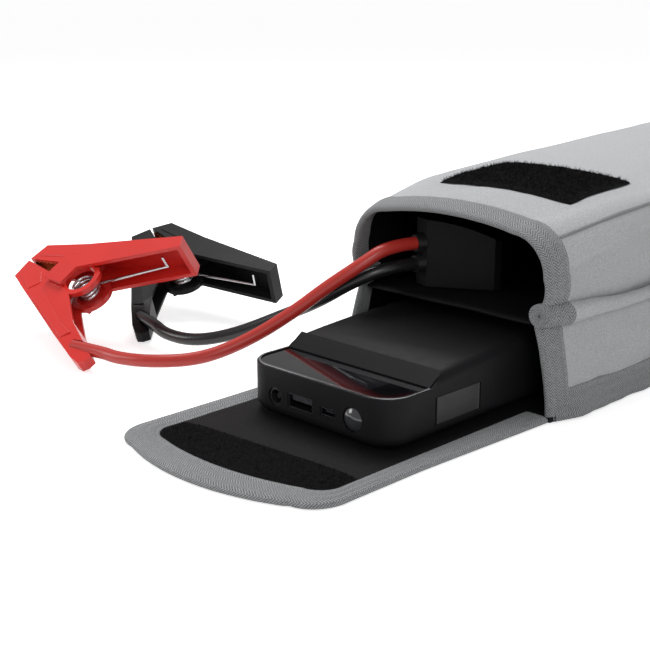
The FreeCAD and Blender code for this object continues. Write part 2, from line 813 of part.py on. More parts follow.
def make_front_ports():
    top = "case_wall + board_lift + board_thickness"
    deep = "case_wall + 0.3"
    body = box("jack_block", ("jack_x - jack_body / 2", deep, top), "jack_body", "jack_length",
               "jack_z + jack_body / 2 - case_wall - board_lift - board_thickness")
    nose = cylinder("jack_nose", ("jack_x", "0.6", "jack_z"), "jack_hole / 2 - fit_gap", "case_wall", ALONG_Y)
    bore = cylinder("jack_bore_tool", ("jack_x", "0", "jack_z"), "jack_bore / 2", "jack_length - 2", ALONG_Y)
    pin = cylinder("jack_pin_rod", ("jack_x", "2", "jack_z"), "jack_pin / 2", "jack_length - 2", ALONG_Y)
    bored = cut("jack_bored", fuse("jack_block_and_nose", [body, nose]), bore)
    keep("dc_jack", seat_unit(fuse("dc_jack_shape", [bored, pin])))

    half = "usb_a_width / 2"
    shell = box("usb_shell", ("usb_a_x - " + half, "0.4", "usb_z - usb_a_height / 2"),
                "usb_a_width", "usb_a_length", "usb_a_height")
    hollow = box("usb_hollow", ("usb_a_x - " + half + " + usb_shell_wall", "0", "usb_z - usb_a_height / 2 + usb_shell_wall"),
                 "usb_a_width - 2 * usb_shell_wall", "usb_a_length - 2", "usb_a_height - 2 * usb_shell_wall")
    tongue = box("usb_tongue_bar", ("usb_a_x - usb_a_width / 2 + 1.1", "1.4", "usb_z"),
                 "usb_a_width - 2.2", "usb_a_length - 2", "usb_tongue")
    foot = box("usb_foot", ("usb_a_x - " + half, deep, top), "usb_a_width", "usb_a_length - case_wall",
               "usb_z - usb_a_height / 2 - case_wall - board_lift - board_thickness")
    keep("usb_a_port", seat_unit(fuse("usb_a_shape", [cut("usb_tube", shell, hollow), tongue, foot])))

    shell = box("micro_shell", ("micro_x - micro_width / 2", "0.4", "usb_z - micro_height / 2"),
                "micro_width", "micro_length", "micro_height")
    hollow = box("micro_hollow", ("micro_x - micro_width / 2 + 0.4", "0", "usb_z - micro_height / 2 + 0.4"),
                 "micro_width - 0.8", "micro_length - 1", "micro_height - 0.8")
    tongue = box("micro_tongue", ("micro_x - 2.2", "1.4", "usb_z - 0.3"), "4.4", "micro_length - 1.5", "0.6")
    foot = box("micro_foot", ("micro_x - micro_width / 2", deep, top), "micro_width",
               "micro_length", "usb_z - micro_height / 2 - case_wall - board_lift - board_thickness")
    keep("micro_usb_port", seat_unit(fuse("micro_shape", [cut("micro_tube", shell, hollow), tongue, foot])))

    body = new_body("lens_body")
    r, flange, dome = c.lens_diameter / 2, c.lens_flange / 2, c.lens_dome
    back, inner = c.case_wall + 1.4, c.case_wall + 0.2
    profile = sketch(body, "lens_profile", "XY_Plane", lines(
        (0, 0.6 - dome), ((0.62 * r, 0.6 - 0.72 * dome), (r, 0.6)), (r, inner), (flange, inner), (flange, back),
        (0, back), (0, 0.6 - dome)))
    turned = body.newObject("PartDesign::Revolution", "lens_turn")
    turned.Profile = profile
    turned.ReferenceAxis = (profile, ["V_Axis"])
    turned.Angle = 360
    doc.recompute()
    keep("lamp_lens", place(body, ("unit_side_shift + lamp_x", "-unit_reach", "unit_floor + lamp_z")))

    plate = box("led_plate", ("lamp_x - led_board_size / 2", "case_wall + 1.4 + led_chip / 2",
                              top), "led_board_size", "led_board_thickness",
                "lamp_z + led_board_size / 2 - case_wall - board_lift - board_thickness")
    chip = cylinder("led_dome", ("lamp_x", "case_wall + 1.4", "lamp_z"), "led_chip / 2", "led_chip / 2 + 0.2", ALONG_Y)
    keep("torch_led", seat_unit(fuse("led_shape", [plate, chip])))


def make_unit_inside():
    board = box("control_pcb", ("board_inset - case_width / 2", "board_front", "case_wall + board_lift"),
                "case_width - 2 * board_inset", "board_length", "board_thickness")
    top = "case_wall + board_lift + board_thickness"
    inward = "-case_width / 2 + case_wall + button_flange + button_travel + 0.5"
    switch = box("button_switch", (inward, "button_y - switch_size / 2", top),
                 "switch_size", "switch_size", "button_z + 1 - case_wall - board_lift - board_thickness")
    coil = box("inductor", ("-8", "board_front + 28", top), "12", "12", "6")
    chip = box("controller_chip", ("-22", "board_front + 24", top), "9", "9", "1.4")
    fets = [box(f"power_switch_{i}", (str(10 - 9 * i), "board_front + 44", top), "6", "5", "2") for i in range(3)]
    keep("control_board", seat_unit(fuse("control_shape", [board, switch, coil, chip] + fets)))

    cells = [box(f"cell_{i}", ("-cell_width / 2", "cell_front", f"case_wall + {i} * (cell_thickness + cell_gap)"),
                 "cell_width", "cell_length", "cell_thickness") for i in range(3)]
    keep("battery_cells", seat_unit(group("cell_group", cells)))

    mid = "socket_centre_y"
    face = "case_width / 2 - cover_recess - 0.15"
    block = box("socket_block", (face + " - socket_depth", mid + " - socket_width / 2",
                                 "socket_centre_z - socket_height / 2"),
                "socket_depth", "socket_width", "socket_height")
    foot = box("socket_foot", (face + " - socket_depth", mid + " - socket_width / 2", top),
               "socket_depth - port_boss_depth - 1.5", "socket_width",
               "socket_centre_z - socket_height / 2 - case_wall - board_lift - board_thickness + 0.1")
    spots = [mid + " - contact_spacing / 2", mid + " + contact_spacing / 2"]
    bores = [cylinder(f"socket_bore_{i}", (face + " - socket_depth + 2", y, "socket_centre_z"),
                      "contact_diameter / 2", "socket_depth", ALONG_X) for i, y in enumerate(spots)]
    socket = cut("socket_shape", fuse("socket_and_foot", [block, foot]), fuse("socket_bores", bores))
    keep("output_socket", seat_unit(socket))
    tubes = []
    for i, y in enumerate(spots):
        start = face + " - socket_depth + 2"
        rod = cylinder(f"contact_rod_{i}", (start, y, "socket_centre_z"), "contact_diameter / 2",
                       "socket_depth - 4", ALONG_X)
        bore = cylinder(f"contact_hole_{i}", (start + " + 2", y, "socket_centre_z"), "contact_bore / 2",
                        "socket_depth", ALONG_X)
        tubes.append(cut(f"contact_{i}", rod, bore))
    keep("socket_contacts", seat_unit(group("contact_group", tubes)))

    screws = []
    for i, (x, y) in enumerate(screw_spots()):
        head = cylinder(f"screw_head_{i}", (x, y, "0.3"), "screw_head / 2", "screw_head_height")
        shank = cylinder(f"screw_shank_{i}", (x, y, "0.3"), "screw_diameter / 2", "seam_height + screw_grip - 0.3")
        screws.append(fuse(f"screw_{i}", [head, shank]))
    keep("case_screws", seat_unit(group("case_screw_group", screws)))


def make_port_cover():
    """Rubber cover of the output socket; it swings on a bead along its rear edge."""
    high = "cover_high - cover_low"
    inner = "case_width / 2 - cover_recess + 0.15"
    plate = box("cover_plate", (inner, "cover_front", "cover_low"), "cover_thickness",
                "cover_rear - bead_radius - cover_front", high)
    bead = cylinder("cover_bead", (inner + " + bead_radius - 0.1", "cover_rear - bead_radius", "cover_low"),
                    "bead_radius", high)
    keep("port_cover", seat_unit(fuse("cover_shape", [plate, bead])))


def make_power_button():
    body = new_body("button_body")
    y0, y1 = c.button_y - c.button_length / 2, c.button_y + c.button_length / 2
    z0, z1 = c.button_z - c.button_height / 2, c.button_z + c.button_height / 2
    cap = sketch(body, "button_face", "YZ_Plane", rounded_rect(y0, y1, z0, z1, c.button_height / 2 - 0.1),
                 "-case_width / 2 - button_proud")
    pad(body, "button_cap", cap, "button_proud + case_wall + 0.2")
    e = c.button_flange
    collar = sketch(body, "button_collar", "YZ_Plane", rounded_rect(y0 - e, y1 + e, z0 - e, z1 + e, 2.0),
                    "-case_width / 2 + case_wall + 0.1")
    pad(body, "button_flange_pad", collar, "button_flange - 0.3")
    keep("power_button", seat_unit(body))


# Clamp box, in its own frame: X along its front face, Y into the pouch, Z up

def box_place():
    return Placement(Vector(c.box_corner_x, c.box_corner_y, c.box_floor), Rotation(Vector(0, 0, 1), c.box_turn))


def seat_box(piece):
    piece.Placement = box_place()
    for axis, rule in zip("xyz", ("box_corner_x", "box_corner_y", "box_floor")):
        bind(piece, f"Placement.Base.{axis}", rule)
    return piece


def box_plan(y0, y1):
    """The box seen from above between two depths; its front corners are bevelled."""
    left, right = -c.box_left_bevel, c.box_face + c.box_right_bevel
    if y0 > 0:
        return lines((left, y0), (right, y0), (right, y1), (left, y1), (left, y0))
    return lines((0, 0), (c.box_face, 0), (right, c.box_right_bevel), (right, y1), (left, y1),
                 (left, c.box_left_bevel), (0, 0))


def make_clamp_box():
    left, right = -c.box_left_bevel, c.box_face + c.box_right_bevel
    tall = c.box_height_left + 2
    split, deep, wall = c.box_split, c.box_depth, c.box_wall
    for name, y0, y1 in (("clamp_box_front", 0.0, split), ("clamp_box_rear", split, deep)):
        body = new_body(name + "_body")
        pad(body, name + "_pad", sketch(body, name + "_plan", "XY_Plane", box_plan(y0, y1)), "box_height_left + 1")
        roof = sketch(body, name + "_roof", "XZ_Plane", lines(
            (left - 1, c.box_height_left), ((0.5 * (left + right), c.box_height_mid), (right + 1, c.box_height_right)),
            (right + 1, tall), (left - 1, tall), (left - 1, c.box_height_left)))
        pocket(body, name + "_roof_cut", roof, "2 * box_depth + 4", through=True)
        inside = rounded_rect(left + wall, left + wall + c.box_cavity_width, max(y0, wall), min(y1, deep - wall), 1.0)
        if y0 > 0:
            inside = lines((left + wall, y0 - 1), (left + wall + c.box_cavity_width, y0 - 1),
                           (left + wall + c.box_cavity_width, deep - wall), (left + wall, deep - wall),
                           (left + wall, y0 - 1))
        else:
            bevel = c.box_left_bevel
            inside = lines((wall * 0.5, wall), (left + wall + c.box_cavity_width, wall),
                           (left + wall + c.box_cavity_width, y1 + 1), (left + wall, y1 + 1),
                           (left + wall, bevel + 0.5 * wall), (wall * 0.5, wall))
        cavity = sketch(body, name + "_inside", "XY_Plane", inside, "box_wall + box_cavity_height")
        pocket(body, name + "_cavity", cavity, "box_cavity_height")
        x = right - c.box_screw_inset
        holes = circle(x, c.box_screw_low, c.box_screw_diameter / 2 + 0.05)
        holes += circle(x, c.box_screw_high, c.box_screw_diameter / 2 + 0.05)
        start = "-box_depth" if y0 > 0 else "-box_split"
        bore = sketch(body, name + "_holes", "XZ_Plane", holes, start)
        pocket(body, name + "_bores", bore, "box_depth - box_split" if y0 > 0 else "box_split - 5", up=True)
        if y0 > 0:
            mouth = sketch(body, "plug_seat", "XZ_Plane", lines(
                (c.plug_x - 7, c.plug_z - 3), (c.plug_x + 7, c.plug_z - 3), (c.plug_x + 7, c.plug_z + 3),
                (c.plug_x - 7, c.plug_z + 3), (c.plug_x - 7, c.plug_z - 3)), "-box_depth")
            pocket(body, "plug_opening", mouth, "box_wall + 0.5", up=True)
        keep(name, seat_box(body))

    board = box("box_pcb", (str(left + wall + 1), str(wall + 4), "box_wall"), str(c.box_cavity_width - 2),
                "box_depth - 2 * box_wall - 6", "board_thickness")
    keep("clamp_box_board", seat_box(group("box_board_group", [board])))
    relay = box("relay_case", (str(left + wall + 4), "box_wall + 9", "box_wall + board_thickness"),
                "relay_size", "relay_size", "relay_height")
    keep("relay", seat_box(group("relay_group", [relay])))

    neck = box("plug_neck", ("plug_x - 7 + 0.05", "box_depth - box_wall", "plug_z - 3 + 0.05"), "13.9", "box_wall", "5.9")
    shell = box("plug_shell", ("plug_x - plug_width / 2", "box_depth", "plug_z - plug_height / 2"),
                "plug_width", "plug_length", "plug_height")
    spots = ["plug_x - contact_spacing / 2", "plug_x + contact_spacing / 2"]
    bores = [cylinder(f"plug_bore_{i}", (x, "box_depth + 4", "plug_z"), "contact_diameter / 2 + 1", "plug_length", ALONG_Y)
             for i, x in enumerate(spots)]
    keep("output_plug", seat_box(cut("plug_shape", fuse("plug_solid", [neck, shell]), fuse("plug_bores", bores))))
    pins = [cylinder(f"plug_pin_{i}", (x, "box_depth + 4", "plug_z"), "contact_bore / 2", "plug_length - 5", ALONG_Y)
            for i, x in enumerate(spots)]
    keep("plug_contacts", seat_box(group("plug_pin_group", pins)))
    x = right - c.box_screw_inset
    screws = [cylinder(f"box_screw_{i}", (x, "5.5", z), "box_screw_diameter / 2", "box_depth - 6", ALONG_Y)
              for i, z in enumerate(("box_screw_low", "box_screw_high"))]
    keep("box_screws", seat_box(group("box_screw_group", screws)))


def grommet_frame(height):
    """Middle of the left bevel at a height, with Z along the way the cable leaves."""
    mid = Vector(-c.box_left_bevel / 2, c.box_left_bevel / 2, height)
    out = Rotation(Vector(0, 0, 1), Vector(-1, -1, 0))
    return box_place().multiply(Placement(mid, out))


def make_grommets():
    for name, height in (("red_grommet", c.red_grommet_z), ("black_grommet", c.black_grommet_z)):
        flange = Part.makeCone(c.grommet_diameter / 2, c.grommet_diameter / 2 - 0.8, c.grommet_length)
        piece = shaped(name + "_shape", flange)
        piece.Placement = grommet_frame(height)
        keep(name, piece)


# Cables

def bend(before, corner, after, run):
    """The arc that rounds a corner, leaving each run at a distance from it."""
    d0 = (before - corner).normalize()
    d1 = (after - corner).normalize()
    start = corner + d0 * run
    end = corner + d1 * run
    half_turn = (math.pi - d0.getAngle(d1)) / 2
    middle_dir = (d0 + d1).normalize()
    radius = run / math.tan(half_turn)
    apex = radius / math.cos(half_turn) - radius
    return start, corner + middle_dir * apex, end, radius


def tube(points, diameter):
    """A round tube along straight runs joined by tangent arcs; prints its tightest radius."""
    nodes = [Vector(*p) for p in points]
    edges = []
    here = nodes[0]
    radii = []
    for a, b, d in zip(nodes, nodes[1:], nodes[2:]):
        run = 0.45 * min((b - a).Length, (d - b).Length)
        start, middle, end, radius = bend(a, b, d, run)
        radii.append(radius)
        edges.append(Part.LineSegment(here, start).toShape())
        edges.append(Part.Arc(start, middle, end).toShape())
        here = end
    edges.append(Part.LineSegment(here, nodes[-1]).toShape())
    path = Part.Wire(edges)
    ring = Part.Wire([Part.Circle(nodes[0], nodes[1] - nodes[0], diameter / 2).toShape()])
    solid = path.makePipeShell([ring], True, False)
    share = solid.Volume / (math.pi * diameter ** 2 / 4 * path.Length)
    return solid, path.Length, radii, share


def clamp_frame(colour):
    pivot, angles, _ = CLAMPS[colour]
    return Placement(Vector(*pivot), Rotation(*angles))


def tail_hole(colour):
    """Where a cable ends inside its clamp's tail, and which way it leaves, in the clamp's frame."""
    return Vector(c.cable_seat_x, -c.cable_seat_y, c.cable_seat_z), Vector(*CLAMPS[colour][2]).normalize()


def make_cables():
    for name, height in (("red", c.red_grommet_z), ("black", c.black_grommet_z)):
        leave = grommet_frame(height)
        seat = clamp_frame(name)
        end, way = tail_hole(name)
        first = [leave.multVec(Vector(0, 0, c.grommet_length + run)) for run in (0, c.first_run)]
        last = [seat.multVec(end + way * run) for run in (c.last_run, 0)]
        points = [tuple(p) for p in first] + ROUTES[name] + [tuple(p) for p in last]
        solid, length, radii, share = tube(points, c.cable_diameter)
        keep(name + "_cable", shaped(name + "_cable_shape", solid))
        print(f"{name} cable: length {length:.1f}, tightest radius {min(radii):.1f}, volume share {share:.4f}")


# Clamps

def prism(points, low_z, high_z, side=1):
    """A flat outline of the clamp's side view made solid between two heights."""
    corners = [Vector(x, side * y, low_z) for x, y in points]
    return Part.Face(Part.makePolygon(corners + corners[:1])).extrude(Vector(0, 0, high_z - low_z))


def tube_ring(outer, inner, low_z, high_z):
    solid = Part.makeCylinder(outer, high_z - low_z, Vector(0, 0, low_z))
    return solid.cut(Part.makeCylinder(inner, high_z - low_z, Vector(0, 0, low_z)))


def bevel(solid, points):
    """Takes off what lies beyond the plane through three points, on the side away from the pivot."""
    first, second, third = (Vector(*p) for p in points)
    normal = (second - first).cross(third - first).normalize()
    if normal.dot(first) < 0:
        normal = normal * -1
    block = Part.makeBox(400, 400, 60, Vector(-200, -200, 0))
    block.Placement = Placement(first, Rotation(Vector(0, 0, 1), normal))
    return solid.cut(block)


def back_line(x, nose_height):
    """Height of an arm's straight back at x."""
    return nose_height + (x + c.jaw_tip - c.nose_slant) * c.back_slope


def make_upper_arm():
    """Arm with a narrow nose, a wide handle channel, lugs over the lower arm and two pivot rings."""
    tip, step, nose = c.jaw_tip, c.width_step, c.nose_height
    half, narrow = c.upper_width / 2, c.lower_width / 2
    inner = half - c.cheek_wall
    narrow_inner = narrow - c.lower_cheek_wall
    mouth, rise = c.mouth_back, c.mouth_rise
    end_x, end_y = c.handle_reach, back_line(c.handle_reach, nose)
    grip = (end_x + c.handle_slant, end_y - c.handle_end_depth)

    def edge(x):
        share = (x + c.grip_edge_x) / (grip[0] + c.grip_edge_x)
        return c.grip_edge_y + share * (grip[1] - c.grip_edge_y)

    solid = prism([(-tip, c.jaw_lift), (c.nose_slant - tip, nose), (-step, back_line(-step, nose)),
                   (-step, rise), (-mouth, rise)], -narrow, narrow)
    handle = {}
    for side, rear in ((1, -c.grip_edge_x), (-1, c.far_lug_rear)):
        outline = [
            (-step, back_line(-step, nose)), (end_x, end_y), grip, (rear, edge(rear)), (rear, -c.lug_reach),
            (-c.lug_front, -c.lug_reach), (-c.lug_front, c.lug_height), (-step - 1.5, c.lug_height),
        ]
        flat = prism(outline, min(0, side * half), max(0, side * half))
        spine = side * (half - c.cheek_bevel_width)
        top_step = back_line(-step, nose)
        handle[side] = bevel(flat, [
            (-step, top_step, spine), (end_x, end_y, side * half), (-step, top_step - c.cheek_bevel_drop, side * half),
        ])
        solid = solid.fuse(handle[side])
    top = c.back_wall
    solid = solid.cut(prism([(-c.lug_front - 1, -30), (-c.lug_front - 1, rise), (-step, rise), (-step, -30)],
                            -inner, inner))
    wall = c.end_wall
    solid = solid.cut(prism([(-step, -30), (-step, back_line(-step, nose) - top), (end_x - wall, end_y - top),
                             (grip[0] - wall, grip[1] - 1), (grip[0] - wall, -30)], -inner, inner))
    solid = solid.cut(prism([(wall - tip, -20), (c.nose_slant + wall - tip - 0.8, nose - top),
                             (-step, back_line(-step, nose) - top), (-step, -20)], -narrow_inner, narrow_inner))
    outer = c.hoop_bore - c.ring_clearance
    start = narrow - c.hoop_length
    for side in (1, -1):
        low_z, high_z = sorted((side * start, side * narrow))
        ring = tube_ring(outer, c.ring_bore, low_z, high_z)
        low_z, high_z = sorted((side * (narrow - 0.1), side * (inner + 0.1)))
        joint = tube_ring(outer, c.ring_bore, low_z, high_z).common(handle[side])
        solid = solid.fuse([ring, joint])
    return solid.removeSplitter()


def lower_back(x):
    return back_line(x, c.lower_nose_height)


def make_lower_arm():
    """Arm with a hoop on each side that turns on the upper arm's rings, and a solid tail."""
    tip, nose = c.jaw_tip, c.lower_nose_height
    half = c.lower_width / 2
    inner = half - c.lower_cheek_wall
    tail, start = c.tail_reach, c.tail_start
    rise = c.lower_mouth_rise
    outline = [
        (-tip, c.jaw_lift), (c.nose_slant - 0.6 - tip, nose), (tail - 8, lower_back(tail - 8)),
        (tail - 3.2, lower_back(tail - 8) + 0.5), (tail - 0.6, lower_back(tail - 8) - 1.6),
        (tail, lower_back(start) - 0.4), (start, lower_back(start) - 10.4), (-5.8, 4.4), (-9.4, rise),
        (-c.mouth_back - 4.6, rise),
    ]
    solid = prism(outline, -half, half, -1)
    top, wall = c.back_wall, c.end_wall
    solid = solid.cut(prism([(wall - tip, -20), (c.nose_slant + wall - tip - 0.8, nose - top),
                             (start, lower_back(start) - top), (start, -20)], -inner, inner, -1))
    for side in (1, -1):
        low_z, high_z = sorted((side * (half - c.hoop_length), side * half))
        solid = solid.fuse(Part.makeCylinder(c.hoop_radius, high_z - low_z, Vector(0, 0, low_z)))
    solid = solid.cut(Part.makeCylinder(c.hoop_bore, 4 * half, Vector(0, 0, -2 * half)))
    for side in (1, -1):
        corners = [(c.tail_taper, half), (tail, c.tail_width / 2), (tail + 5, 0.5), (tail + 5, half + 5),
                   (c.tail_taper, half + 5)]
        points = [Vector(x, 0, side * z) for x, z in corners]
        wedge = Part.Face(Part.makePolygon(points + points[:1])).extrude(Vector(0, -80, 0))
        solid = solid.cut(wedge)
    return solid.removeSplitter()


def make_jaw(side, with_strap):
    """A toothed plate set in an arm's nose; the lower one has a strap that runs to the cable."""
    front, rear = -c.jaw_front, -c.jaw_rear
    inner = c.lower_width / 2 - c.lower_cheek_wall
    count = int(c.tooth_count)

    def gap(x):
        return c.jaw_gap + (x - front) / (rear - front) * (c.jaw_rear_gap - c.jaw_gap)

    outline = []
    step = (rear - front) / count
    for i in range(count):
        x = front + i * step
        outline.append((x, gap(x)))
        outline.append((x + step / 2, gap(x + step / 2) + c.tooth_height))
    outline += [(rear, gap(rear)), (rear, gap(rear) + c.jaw_body), (front, gap(front) + c.jaw_body)]
    solid = prism(outline, -inner, inner, side)
    if with_strap:
        thick = c.strap_thickness
        end = c.tail_start - 0.4
        path = [(rear - 0.5, gap(rear) + c.jaw_body - thick), (rear + 7.5, lower_back(rear + 7.5) - 4.5),
                (end, lower_back(end) - 4.0)]
        strap = path + [(x, y + thick) for x, y in reversed(path)]
        solid = solid.fuse(prism(strap, -c.strap_width / 2, c.strap_width / 2, side))
    return solid


def biarc(p0, t0, p1, t1):
    """Two tangent arcs from one point and direction to another."""
    v = p1 - p0
    t = t0 + t1
    a = 2 * (1 - t0.dot(t1))
    b = 2 * v.dot(t)
    d = v.dot(v)
    reach = d / b if a < 1e-9 else (-b + math.sqrt(b * b + 4 * a * d)) / (2 * a)
    q0 = p0 + t0 * reach
    q1 = p1 - t1 * reach
    mid = (q0 + q1) * 0.5
    edges = []
    for a0, corner, a1 in ((p0, q0, mid), (mid, q1, p1)):
        _, through, _, _ = bend(a0, corner, a1, (corner - a0).Length)
        edges.append(Part.Arc(a0, through, a1).toShape())
    return edges


def make_spring():
    """Torsion spring round the pivot: coils, and a leg in each arm's channel."""
    radius, pitch, wire = c.coil_radius, c.coil_pitch, c.coil_wire
    upper = math.radians(c.upper_leg_angle)
    lower = math.radians(c.lower_leg_angle)
    start_angle = math.pi / 2 + upper
    turns = c.coil_turns + (math.pi - upper - lower) / (2 * math.pi)
    steps = 4 * int(c.coil_turns) + 2
    height = turns * pitch

    def point(share):
        angle = start_angle + 2 * math.pi * turns * share
        return Vector(radius * math.cos(angle), radius * math.sin(angle), height * (share - 0.5))

    def direction(share):
        angle = start_angle + 2 * math.pi * turns * share
        return Vector(-radius * math.sin(angle), radius * math.cos(angle), pitch / (2 * math.pi)).normalize()

    def level(share):
        """The coil's direction, without its climb where a leg begins."""
        way = direction(share)
        return Vector(way.x, way.y, 0).normalize() if share in (0, 1) else way

    first, last = point(0), point(1)
    leg_in = first - level(0) * c.upper_leg
    leg_out = last + level(1) * c.lower_leg
    edges = [Part.LineSegment(leg_in, first).toShape()]
    for i in range(steps):
        a, b = i / steps, (i + 1) / steps
        edges += biarc(point(a), level(a), point(b), level(b))
    edges.append(Part.LineSegment(last, leg_out).toShape())
    path = Part.Wire(edges)
    ring = Part.Wire([Part.Circle(leg_in, level(0), wire / 2).toShape()])
    solid = path.makePipeShell([ring], True, False)
    share = solid.Volume / (math.pi * wire ** 2 / 4 * path.Length)
    print(f"spring: turns {turns:.2f}, least gap {pitch - wire:.2f}, volume share {share:.4f}")
    hook = Part.makeCylinder(wire / 2, c.leg_hook, leg_in + level(0) * wire / 2, Vector(0, 0, 1))
    return solid.fuse(hook)


def make_clamps():
    lower = make_lower_arm()
    shapes = {
        "upper_arm": make_upper_arm(),
        "upper_jaw": make_jaw(1, False),
        "lower_jaw": make_jaw(-1, True),
        "spring": make_spring(),
    }
    for colour, (pivot, angles, _) in CLAMPS.items():
        end, way = tail_hole(colour)
        bore = Part.makeCylinder(c.cable_diameter / 2 + c.cable_hole_gap, 40, end, way)
        for name, shape in {**shapes, "lower_arm": lower.cut(bore)}.items():
            label = f"{colour}_{name}"
            keep(label, shaped(label + "_shape", shape.copy(), pivot, Rotation(*angles)))


make_pouch()
make_flap()
make_lower_case()
make_upper_case()
make_display()
make_front_ports()
make_unit_inside()
make_port_cover()
make_power_button()
make_clamp_box()
make_grommets()
make_cables()
make_clamps()
doc.recompute()

for piece in doc.Objects:
    if "Invalid" in piece.State or "Error" in piece.State:
        raise RuntimeError(f"{piece.Name} failed: {piece.State}")
for name, piece in parts.items():
    if piece.Shape.isNull() or not piece.Shape.isValid():
        raise RuntimeError(name + " has no valid shape")

os.makedirs("parts", exist_ok=True)
for name, piece in parts.items():
    piece.Shape.exportStep(f"parts/{name}.step")
print(len(parts), "sub-parts written")
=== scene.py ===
"""A jump starter pack on a pale floor: pouch with open flap, starter unit, boxed clamp cables."""

import logging
import math
import random
from dataclasses import dataclass, field
from enum import Enum
from typing import Sequence

import bmesh
import bpy
from mathutils import Matrix, Vector, noise


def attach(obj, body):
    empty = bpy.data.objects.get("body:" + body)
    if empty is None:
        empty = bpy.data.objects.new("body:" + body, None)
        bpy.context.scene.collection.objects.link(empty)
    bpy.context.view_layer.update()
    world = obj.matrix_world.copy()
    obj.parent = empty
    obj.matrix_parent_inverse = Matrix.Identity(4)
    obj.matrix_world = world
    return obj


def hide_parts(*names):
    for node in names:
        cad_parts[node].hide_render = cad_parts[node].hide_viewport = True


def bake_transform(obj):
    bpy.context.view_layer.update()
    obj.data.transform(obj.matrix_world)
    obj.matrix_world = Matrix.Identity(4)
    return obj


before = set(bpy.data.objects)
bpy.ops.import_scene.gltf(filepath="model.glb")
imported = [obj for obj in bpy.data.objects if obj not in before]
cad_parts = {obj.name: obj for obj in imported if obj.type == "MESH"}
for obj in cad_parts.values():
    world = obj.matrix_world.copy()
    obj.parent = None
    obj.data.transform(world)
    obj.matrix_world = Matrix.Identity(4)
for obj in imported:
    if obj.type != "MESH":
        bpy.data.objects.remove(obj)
LOG = logging.getLogger("jump_starter_pack")
MM = 0.001
FIBRE_ROOT = 0.3
FIBRE_HALF = 0.13
FIBRE_LEAN = 0.6
WELD = 0.004
Point = tuple[float, float, float]
Outline = tuple[tuple[float, float], ...]


class Pole(Enum):
    """The two battery poles, each with its clamp and cable."""

    RED = "red"
    BLACK = "black"


class Side(Enum):
    """The pouch's sides, as the sign of X."""

    LEFT = -1
    RIGHT = 1


# Shader graphs

class Wire:
    """An output socket that the usual operators join into Math nodes."""

    def __init__(self, graph: "Graph", socket: bpy.types.NodeSocket) -> None:
        """Keeps the graph and its socket."""
        self.graph = graph
        self.socket = socket

    def maths(self, operation: str, *others: "Wire | float", flip: bool = False) -> "Wire":
        """Adds a Math node.

        Args:
            operation: the node's operation.
            others: its other inputs.
            flip: whether this wire is the second input.

        Returns:
            The node's result.
        """
        values = [self, *others]
        if flip:
            values.reverse()
        return self.graph.add("ShaderNodeMath", {"operation": operation}, dict(enumerate(values)))

    def __add__(self, other: "Wire | float") -> "Wire":
        """Sum."""
        return self.maths("ADD", other)

    def __sub__(self, other: "Wire | float") -> "Wire":
        """Difference."""
        return self.maths("SUBTRACT", other)

    def __rsub__(self, other: float) -> "Wire":
        """Difference from a number."""
        return self.maths("SUBTRACT", other, flip=True)

    def __mul__(self, other: "Wire | float") -> "Wire":
        """Product."""
        return self.maths("MULTIPLY", other)

    def __truediv__(self, other: "Wire | float") -> "Wire":
        """Quotient."""
        return self.maths("DIVIDE", other)

    def __lt__(self, other: "Wire | float") -> "Wire":
        """One where this is less than the other, else zero."""
        return self.maths("LESS_THAN", other)

    def __gt__(self, other: "Wire | float") -> "Wire":
        """One where this is more than the other, else zero."""
        return self.maths("GREATER_THAN", other)

    def __abs__(self) -> "Wire":
        """Size without sign."""
        return self.maths("ABSOLUTE")

    __radd__ = __add__


